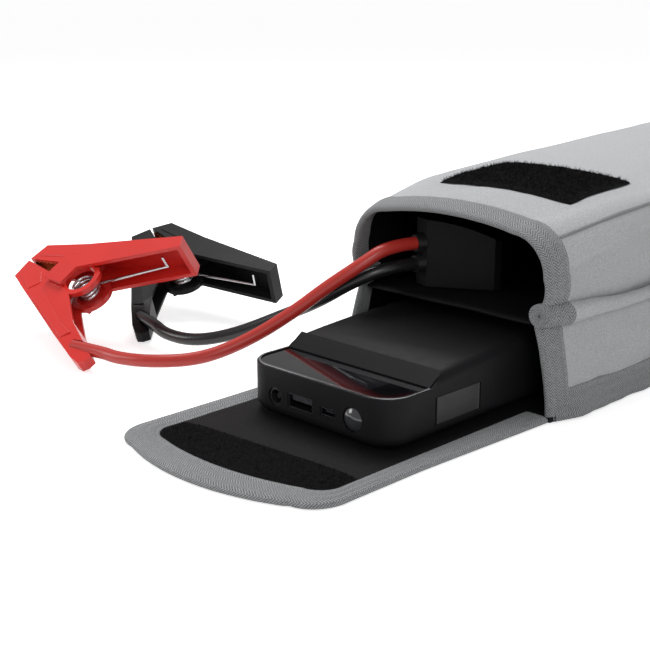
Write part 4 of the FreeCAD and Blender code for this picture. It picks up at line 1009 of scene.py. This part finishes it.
    def make_side_trim(self, side: Side) -> None:
        """The fold at the waist, its cuff of tape, and the tape at the foot of one side.

        Args:
            side: which side.
        """
        name = side.name.lower()
        roll = woven_grid(self.roll_rows(side, 1.0, self.depth - 4.0, 0.0))
        MAKER.piece(name + "_waist_roll", roll, [GREY_CLOTH], "pouch", [name + "_side_ridge"])
        cuff = woven_grid(self.roll_rows(side, -0.8, 10.5, 0.55))
        MAKER.piece(name + "_roll_cuff", cuff, [TAPE], "pouch")
        foot = self.skin_strip(side, [(self.base + 0.1, -0.3), *self.foot_profile], 2.0, self.depth - 2)
        MAKER.piece(name + "_foot_tape", foot, [TAPE], "pouch", [name + "_base_tape"])

    def make_seam(self, side: Side) -> None:
        """The sewn ridge along one shoulder, dressed in the darker tape finish as painted shade along the
        seam.

        Args:
            side: which side.
        """
        count, half_count = 90, 4
        rows = []
        for i in range(2 * half_count + 1):
            across = i / half_count - 1
            row = []
            for j in range(count + 1):
                y = 9.5 + (self.depth - 12.0) * j / count
                before, here, after = (Vector((x, 0.0, z)) for x, z in
                                       self.outline(y, 0.0)[self.seam_at - 1:self.seam_at + 2])
                along = (after - before).normalized()
                out = Vector((along.z, 0.0, -along.x)) * (self.seam_rise * (1 - across * across) - 0.15)
                place = here + along * across * self.seam_half + out
                row.append((side.value * place.x, y, place.z))
            rows.append(row)
        # the ridge is real; its darker tape finish is painted shade along the seam line
        MAKER.piece(side.name.lower() + "_shoulder_seam", woven_grid(rows), [TAPE], "pouch")

    def roll_rows(self, side: Side, first: float, last: float, out: float) -> list[list[Point]]:
        """Rows of the rolled fold that runs along a side at its waist.

        Args:
            side: which side.
            first: Y of its start.
            last: Y of its end.
            out: how far outside the roll's cloth.

        Returns:
            Rows of points, closed round the roll and over both ends.
        """
        count, turns = 54, 20
        rows = []
        for i in range(count + 1):
            y = first + (last - first) * i / count
            centre = self.station(y)[0] - self.waist_depth - self.drawn(y) + self.roll_out
            sag = 0.5 * ripple(0.0, y, float(side.value), 17.0)
            slim = min(1.0, max(self.roll_slim, 1.0 - (y - self.neck) / 90))
            wide = (self.roll + out) * (0.98 + 0.08 * ripple(1.0, y, 2.0, 9.0)) * slim
            row = []
            for j in range(turns + 1):
                a = math.tau * j / turns
                row.append((side.value * (centre + wide * math.cos(a)), y,
                            self.waist_height + sag + wide * self.roll_flat * math.sin(a)))
            rows.append(row)
        caps = []
        for row in (rows[0], rows[-1]):
            middle = [sum(p[k] for p in row[:-1]) / turns for k in range(3)]
            caps.append([[tuple(m + (v - m) * shrink for v, m in zip(p, middle)) for p in row]
                         for shrink in (0.55, 0.08)])
        return caps[0][::-1] + rows + caps[1]

    def make_patch(self) -> None:
        """The loop fastener sewn on the crown."""
        rows = []
        random.seed(11)
        tall, wide = 96, 124
        for i in range(tall + 1):
            y = self.patch_front + self.patch_length * i / tall
            down = 2 * i / tall - 1
            pull = 1.0 - 0.018 * abs(down) ** 9
            crown = self.outline(y, 0.0)[::-1]
            row = []
            for j in range(wide + 1):
                across = 2 * j / wide - 1
                x = self.patch_shift - self.patch_half * across * pull
                z = read_off(crown[self.lobe_steps + self.side_steps:], x)
                edge = min(1.0, 7.0 * (1 - abs(across)), 6.0 * (1 - abs(down)))
                fuzz = random.random() * self.patch_fuzz * edge + 0.5 * edge * ripple(x, y, 0.0, 2.2)
                shift = 1.2 * (abs(across) ** 10) * math.copysign(1.0, down)
                stand = self.patch_stand + self.patch_pile * edge ** 0.5
                row.append((x, y - shift * abs(down) ** 10, z + stand + fuzz))
            rows.append(row)
        mesh = woven_grid(rows)
        add_fibres(mesh, rows, self.patch_fibres, self.patch_fibre)
        MAKER.piece("loop_fastener", mesh, [PILE], "pouch", ["loop_patch"])

    def build(self) -> None:
        """Makes every piece of the pouch."""
        self.make_walls()
        self.make_base()
        self.make_divider()
        self.make_binding()
        for side in Side:
            self.make_side_trim(side)
            self.make_seam(side)
        self.make_patch()


# Flap

@dataclass
class Flap:
    """The open flap: lining on grey cloth, bound with tape, with the hook fastener."""

    half_width: float = 54.0
    length: float = 135.6
    bow: float = 8.6
    skew: float = 2.2
    right_trim: float = 3.4
    trim_run: float = 70.0
    front_share: float = 1.3
    bow_half: float = 40.0
    corner: float = 16.5
    tape: float = 11.0
    hook_back: float = 97.0
    hook_slant: float = 0.07
    hook_foot: float = 2.6
    hook_pile: float = 0.36
    hook_fuzz: float = 0.25
    hook_fibres: int = 5200
    hook_fibre: float = 0.9
    unit_half: float = 39.5
    inset: float = 0.9
    rear: float = 5.0
    rear_half: float = 53.0
    widening: float = 0.01
    cloth_top: float = 2.48
    cloth_wall: float = 2.2
    slack_stand: float = 0.55
    slack_fold: float = 0.75
    slack_small: float = 0.4
    sheet_share: float = 0.968
    side_steps: int = 26
    corner_steps: int = 14
    bow_steps: int = 36
    fold: Outline = (
        (11.2, 2.2), (11.0, 2.75), (8.0, 2.9), (4.5, 2.94), (1.6, 2.82), (0.35, 2.35), (0.0, 1.4),
        (0.25, 0.5), (1.2, 0.08), (5.0, 0.04), (11.0, 0.05))

    def trim(self, y: float, inset: float) -> float:
        """How much narrower the right side's tape is, which is turned over more tightly there.

        Args:
            y: place along the flap.
            inset: how far inside the true edge.

        Returns:
            Width taken off.
        """
        return self.right_trim * max(0.0, 1.0 - inset / self.tape) * share(-y / self.trim_run)

    def edge(self, inset: float, rear: float) -> list[tuple[float, float]]:
        """The flap's edge from its left rear corner round the front to its right one.

        Args:
            inset: how far inside the true edge.
            rear: Y where it ends at the rear.

        Returns:
            Points X, Y.
        """
        side, front = self.half_width - inset, self.front_share * inset - self.length
        bow_x, bow_y = self.bow_half - 0.5 * inset, front + self.bow - 0.3 * inset
        corner_y = bow_y + self.corner - 0.5 * inset
        mid_x, mid_y = side - 0.3 * (side - bow_x), bow_y + 0.26 * (corner_y - bow_y)
        steps, skew = self.side_steps, self.skew
        left_y, right_y = corner_y - skew, corner_y + skew
        left = [(-side, rear + (left_y - rear) * i / steps) for i in range(steps)]
        left += arc((-side, left_y), (-mid_x, mid_y - skew), (-bow_x, bow_y - skew), self.corner_steps)
        middle = arc((-bow_x, bow_y - skew), (0.0, front), (bow_x, bow_y + skew), self.bow_steps)
        right = arc((bow_x, bow_y + skew), (mid_x, mid_y + skew), (side, right_y), self.corner_steps)
        right += [(side, right_y + (rear - right_y) * i / steps) for i in range(steps + 1)]
        right = [(x - self.trim(y, inset) * min(1.0, x / side) ** 2, y) for x, y in right]
        return left + middle + right

    def front_at(self, x: float, inset: float) -> float:
        """Y of the front edge at x.

        Args:
            x: place across the flap.
            inset: how far inside the true edge.

        Returns:
            Y.
        """
        line = self.edge(inset, 0.0)[self.side_steps:-self.side_steps]
        return read_off(line, max(line[0][0], min(line[-1][0], x)))

    def slack(self, x: float, y: float) -> float:
        """How far the lining stands up, which is nothing where the starter unit slides.

        Args:
            x: place across the flap.
            y: place along it.

        Returns:
            Height over the flat cloth.
        """
        clear = abs(x) - self.unit_half
        inside = min(self.half_width - self.tape + 1.0 - abs(x), y - self.front_at(x, self.tape) + 1.0)
        free = share(clear / 5.0) * share(inside / 4.0)
        return free * (self.slack_stand + self.slack_fold * ripple(x, y, 1.0, 10.0)
                       + self.slack_small * ripple(x * 2, y, 5.0, 7.0))

    def make_cloth(self) -> None:
        """The sheet of lining and outer cloth, which reaches a little way under the pouch's edge."""
        side = self.half_width - self.inset
        columns, count = 72, 96
        rows = []
        for i in range(count + 1):
            row = []
            for j in range(columns + 1):
                x = side * (2 * j / columns - 1)
                front = self.front_at(x, self.inset)
                y = self.rear + (front - self.rear) * i / count
                half = min(side, self.rear_half + self.widening * max(0.0, -y))
                if x > 0.0:
                    half -= self.trim(y, 0.0)
                step = 0.2 if y > 0 else 0.0
                row.append((x * half / side, y, self.cloth_top + step + max(0.0, self.slack(x, y))))
            rows.append(row)
        cloth = MAKER.piece("flap_cloth", woven_grid(rows), [LINING, GREY_CLOTH], None,
                            ["flap_panel"], wall=self.cloth_wall)
        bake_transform(cloth)

    def make_binding(self) -> None:
        """Tape folded over the flap's edge."""
        rows = []
        for inset, z in self.fold:
            row = []
            for x, y in self.edge(inset, -0.8):
                wave = 0.25 * ripple(x, y, 0.0, 8.0) * min(1.0, z)
                row.append((x + 0.7 * wave, y + 0.5 * wave, max(0.03, z + 0.6 * min(0.0, wave))))
            rows.append(row)
        MAKER.piece("flap_binding_tape", woven_grid(rows), [TAPE], "flap", ["flap_binding"], levels=1)

    def make_hook(self) -> None:
        """The hook fastener near the front edge."""
        rows = []
        random.seed(5)
        tall, wide = 44, 168
        half = self.half_width - self.tape - 0.6
        for i in range(tall + 1):
            row = []
            down = 2 * i / tall - 1
            for j in range(wide + 1):
                across = 2 * j / wide - 1
                x = half * across
                back = self.hook_slant * x - self.hook_back - 2.0 * across ** 8
                front = self.front_at(x, self.tape) + 0.2
                y = front + (back - front) * i / tall
                edge = min(1.0, 12.0 * (1 - abs(across)), 4.0 * (1 - abs(down)))
                fuzz = self.hook_fuzz * edge * (random.random() - 1.0)
                stand = self.hook_foot + self.hook_pile * edge ** 0.5
                row.append((x + 0.3 * (random.random() - 0.5), y, stand + fuzz))
            rows.append(row)
        mesh = woven_grid(rows)
        add_fibres(mesh, rows, self.hook_fibres, self.hook_fibre)
        MAKER.piece("hook_fastener", mesh, [PILE], "flap", ["hook_strip"])

    def build(self) -> None:
        """Makes every piece of the flap."""
        self.make_cloth()
        self.make_binding()
        self.make_hook()


# Starter unit

@dataclass
class Starter:
    """The starter unit: its upper moulding gets rounded edges, the rest keeps the frame's nodes."""

    rounding: float = 0.9
    nodes: dict[str, Finish] = field(default_factory=lambda: {
        "lower_case": SHELL, "brow_panel": SHELL, "display_window": WINDOW,
        "display_rim": SILVER, "lcd_module": RELAY, "display_board": BOARD, "lamp_lens": LENS,
        "torch_led": LED, "usb_a_port": CONNECTOR, "micro_usb_port": CONNECTOR, "dc_jack": RELAY,
        "output_socket": SOCKET, "socket_contacts": GOLD, "battery_cells": FOIL, "control_board": BOARD,
        "case_screws": SCREW, "port_cover": PORT_RUBBER, "power_button": SHELL})

    def build(self) -> None:
        """Rounds the upper moulding and dresses the other nodes."""
        MAKER.softened("upper_case", SHELL, "starter", self.rounding)
        for node, finish in self.nodes.items():
            dress_node(node, finish)


def dress_node(node: str, finish: Finish) -> None:
    """Gives a CAD node its finish.

    Args:
        node: its name.
        finish: what it is made of.
    """
    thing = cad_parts[node]
    MAKER.dress(thing, [finish])
    LOG.info("%s: %s", node, finish.slot)


# Clamp set

@dataclass(frozen=True)
class Ribs:
    """A row of low grip ribs across an arm's back."""

    first: tuple[float, float]
    last: tuple[float, float]
    half: float
    count: int
    height: float = 0.4
    width: float = 0.95

    def add_to(self, mesh: bmesh.types.BMesh) -> None:
        """Adds the ribs, in the clamp's own frame.

        Args:
            mesh: takes them.
        """
        for i in range(self.count):
            t = i / (self.count - 1)
            x, y = (a + (b - a) * t for a, b in zip(self.first, self.last))
            size = Matrix.Diagonal((self.width, 2 * self.height, 2 * self.half, 1.0))
            bmesh.ops.create_cube(mesh, size=1.0, matrix=Matrix.Translation((x, y, 0.0)) @ size)


@dataclass
class ClampSet:
    """The clamp box with its two cables and clamps."""

    cable: float = 5.6
    rounding: float = 0.45
    box_rounding: float = 1.1
    routes: dict[Pole, list[Point]] = field(default_factory=lambda: {
        Pole.RED: [(-27.05, 12.99, 57.0), (-30.68, -0.53, 57.0), (-35.5, -10.5, 50.5), (-45.8, -21.5, 40.5),
                   (-54.5, -32.5, 30.0), (-65.6, -48.0, 18.8), (-77.0, -64.5, 11.6), (-93.4, -78.0, 9.8),
                   (-111.6, -82.5, 8.5), (-121.5, -83.0, 9.0), (-136.8, -87.7, 9.6)],
        Pole.BLACK: [(-27.05, 12.99, 48.0), (-30.68, -0.53, 48.0), (-40.5, -11.5, 42.0), (-54.0, -18.0, 32.0),
                     (-72.0, -24.0, 23.0), (-90.0, -33.5, 13.5), (-106.5, -43.5, 8.8), (-126.0, -45.0, 8.3),
                     (-137.5, -42.2, 10.4), (-153.1, -38.5, 10.0)]})
    pivots: dict[Pole, tuple[Point, Point]] = field(default_factory=lambda: {
        Pole.RED: ((-164.5, -60.0, 25.8), (0.0, 3.0, 33.5)),
        Pole.BLACK: ((-168.2, -0.8, 22.1), (-18.7, 13.5, 15.8))})
    lengths: dict[Pole, float] = field(default_factory=lambda: {Pole.RED: 0.166, Pole.BLACK: 0.153})
    shield: Outline = ((-38.0, 3.8), (-24.5, 7.9), (-19.5, 8.0), (-14.5, 16.4), (-20.0, 15.2), (-38.6, 8.6))
    cheek: Outline = ((-21.5, -16.3), (-17.5, -11.5), (13.2, -24.5), (24.5, -27.2), (21.9, -31.7),
                      (-18.0, -18.6))
    chin: Outline = ((-39.2, -3.2), (-27.0, -3.6), (-20.6, -9.6), (-24.4, -15.2), (-37.6, -9.9))
    plate_foot: float = 6.2
    plate_face: float = 6.85
    plate_rounding: float = 0.16
    upper_ribs: Ribs = Ribs((-9.0, 21.7), (33.0, 36.2), 5.4, 21)
    lower_ribs: Ribs = Ribs((-34.0, -13.55), (14.0, -30.1), 5.2, 24)

    def make_cable(self, pole: Pole) -> None:
        """One cable, from its grommet to its clamp's tail.

        Args:
            pole: which cable.
        """
        finish = SLEEVES[pole]
        name = pole.value + "_lead"
        curve = bpy.data.curves.new(name, "CURVE")
        curve.dimensions = "3D"
        spline = curve.splines.new("NURBS")
        route = self.routes[pole]
        spline.points.add(len(route) - 1)
        for point, (x, y, z) in zip(spline.points, route):
            point.co = (x * MM, y * MM, z * MM, 1.0)
        spline.order_u = 3
        spline.use_endpoint_u = True
        spline.resolution_u = 16
        curve.bevel_depth = self.cable / 2 * MM
        curve.bevel_resolution = 8
        curve.use_fill_caps = True
        curve.materials.append(finish.material())
        lead = placed(name, curve)
        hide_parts(pole.value + "_cable")
        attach(lead, "cable_set")
        LOG.info("%s: %d points", name, len(route))

    def make_clamp(self, pole: Pole) -> None:
        """One clamp's mouldings and metal.

        Args:
            pole: which clamp.
        """
        name = pole.value
        MAKER.softened(name + "_lower_arm", PLASTICS[pole], "cable_set", self.rounding)
        MAKER.softened(name + "_upper_arm", PLASTICS[pole], name + "_clamp_upper", self.rounding)
        dress_node(name + "_lower_jaw", COPPER)
        dress_node(name + "_upper_jaw", COPPER)
        dress_node(name + "_spring", WIRE)

    def seat(self, pole: Pole) -> Matrix:
        """The clamp's own frame: X from jaws to handles, Y to the upper arm, Z along the pivot.

        Args:
            pole: which clamp.

        Returns:
            Its matrix, in millimetres.
        """
        place, (yaw, pitch, roll) = self.pivots[pole]
        turn = (Matrix.Rotation(math.radians(yaw), 4, "Z") @ Matrix.Rotation(math.radians(pitch), 4, "Y")
                @ Matrix.Rotation(math.radians(roll), 4, "X"))
        return Matrix.Translation(place) @ turn

    def raised(self, mesh: bmesh.types.BMesh, outline: Outline, low: float, high: float) -> None:
        """Adds a thin plate standing on a cheek.

        Args:
            mesh: takes the plate.
            outline: its outline in the clamp's X and Y.
            low: lower Z.
            high: upper Z.
        """
        face = mesh.faces.new([mesh.verts.new((x, y, low)) for x, y in outline])
        top = bmesh.ops.extrude_face_region(mesh, geom=[face])
        corners = [v for v in top["geom"] if isinstance(v, bmesh.types.BMVert)]
        bmesh.ops.translate(mesh, vec=(0, 0, high - low), verts=corners)

    def make_relief(self, pole: Pole) -> None:
        """Raised plates and grip ribs on both arms.

        Args:
            pole: which clamp.
        """
        for part, body, plates, ribs in (
                ("upper", pole.value + "_clamp_upper", [self.shield], self.upper_ribs),
                ("lower", "cable_set", [self.cheek, self.chin], self.lower_ribs)):
            mesh = bmesh.new()
            for plate in plates:
                self.raised(mesh, plate, -self.plate_face, -self.plate_foot)
                self.raised(mesh, plate, self.plate_foot, self.plate_face)
            ribs.add_to(mesh)
            bmesh.ops.transform(mesh, matrix=self.seat(pole), verts=mesh.verts)
            bmesh.ops.recalc_face_normals(mesh, faces=mesh.faces)
            MAKER.piece(f"{pole.value}_{part}_relief", mesh, [PLASTICS[pole]], body,
                        rounding=self.plate_rounding)

    def make_box(self) -> None:
        """The clamp box and what it holds."""
        for node in ("clamp_box_front", "clamp_box_rear"):
            MAKER.softened(node, SHELL, "cable_set", self.box_rounding)
        for node, finish in (("clamp_box_board", BOARD), ("relay", RELAY), ("output_plug", SOCKET),
                             ("plug_contacts", GOLD), ("box_screws", SCREW), ("red_grommet", BLACK_SLEEVE),
                             ("black_grommet", BLACK_SLEEVE)):
            dress_node(node, finish)

    def build(self) -> None:
        """Makes the cables first, then the clamps and the box."""
        for pole in Pole:
            self.make_cable(pole)
        for pole in Pole:
            self.make_clamp(pole)
            self.make_relief(pole)
        self.make_box()


# Stage

@dataclass
class Studio:
    """Floor, lamps, world and camera."""

    camera_place: Point = (0.31151, -0.38318, 0.16959)
    right: Point = (0.7106, 0.7036, 0.0)
    up: Point = (-0.1936, 0.1956, 0.9614)
    back: Point = (0.6764, -0.6832, 0.2752)
    lens: float = 69.23
    floor_glow: float = 0.64
    sky: float = 0.42
    lamps: tuple[tuple[str, Point, Point, float, float], ...] = (
        ("key", (-0.35, 0.25, 0.9), (-0.03, -0.02, 0.0), 0.7, 7.5),
        ("fill", (0.75, -0.55, 0.45), (0.0, 0.05, 0.03), 0.5, 2.6),
        ("side", (-0.7, -0.6, 0.35), (-0.1, -0.05, 0.02), 0.4, 2.0),
    )

    def make_floor(self) -> None:
        """A pale floor that looks white to the camera except for the object's shadow."""
        mesh = bmesh.new()
        bmesh.ops.create_grid(mesh, x_segments=2, y_segments=2, size=6.0)
        data = bpy.data.meshes.new("floor")
        mesh.to_mesh(data)
        mesh.free()
        floor = placed("floor", data)
        graph = MaterialGraph("floor_white")
        path = graph.add("ShaderNodeLightPath", out="Is Camera Ray")
        glossy = graph.add("ShaderNodeLightPath", out="Is Glossy Ray")
        seen = (path + glossy).maths("MINIMUM", 1.0)
        data.materials.append(graph.finish(
            base_color=(0.80, 0.80, 0.80), roughness=0.9, specular_ior_level=0.1,
            emission_color=(1.0, 1.0, 1.0), emission_strength=seen * self.floor_glow))

    def make_world(self) -> None:
        """White behind everything, with a milder light from it."""
        world = bpy.data.worlds.new("studio")
        world.use_nodes = True
        bpy.context.scene.world = world
        graph = Graph(world.node_tree)
        camera = graph.add("ShaderNodeLightPath", out="Is Camera Ray")
        through = graph.add("ShaderNodeLightPath", out="Is Transmission Ray")
        strength = graph.add("ShaderNodeMapRange", None, {
            "Value": camera.maths("MAXIMUM", through), "To Min": self.sky, "To Max": 1.0})
        background = graph.add("ShaderNodeBackground", None, {
            "Color": (1.0, 1.0, 1.0), "Strength": strength})
        graph.add("ShaderNodeOutputWorld", None, {"Surface": background})

    def make_lamps(self) -> None:
        """Soft area lamps."""
        for name, place, aim, size, power in self.lamps:
            data = bpy.data.lights.new(name, "AREA")
            data.shape = "DISK"
            data.size = size
            data.energy = power
            lamp = placed(name, data)
            lamp.location = place
            lamp.rotation_euler = (Vector(aim) - Vector(place)).to_track_quat("-Z", "Y").to_euler()

    def make_camera(self) -> None:
        """The camera, as the photograph was taken."""
        data = bpy.data.cameras.new("camera")
        data.lens = self.lens
        data.sensor_width = 36.0
        data.clip_start, data.clip_end = 0.01, 30.0
        camera = placed("camera", data)
        turn = Matrix((self.right, self.up, self.back)).transposed().to_4x4()
        camera.matrix_world = Matrix.Translation(self.camera_place) @ turn
        bpy.context.scene.camera = camera

    def build(self) -> None:
        """Sets up everything round the object."""
        self.make_camera()
        self.make_floor()
        self.make_world()
        self.make_lamps()
        bpy.context.scene.view_settings.view_transform = "Standard"


def main() -> None:
    """Builds the stage and the object."""
    logging.basicConfig(level=logging.INFO, format="%(message)s")
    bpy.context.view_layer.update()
    Studio().build()
    ClampSet().build()
    Pouch().build()
    Flap().build()
    Starter().build()
    LOG.info("%d new pieces", MAKER.made)


if __name__ == "__main__":
    main()
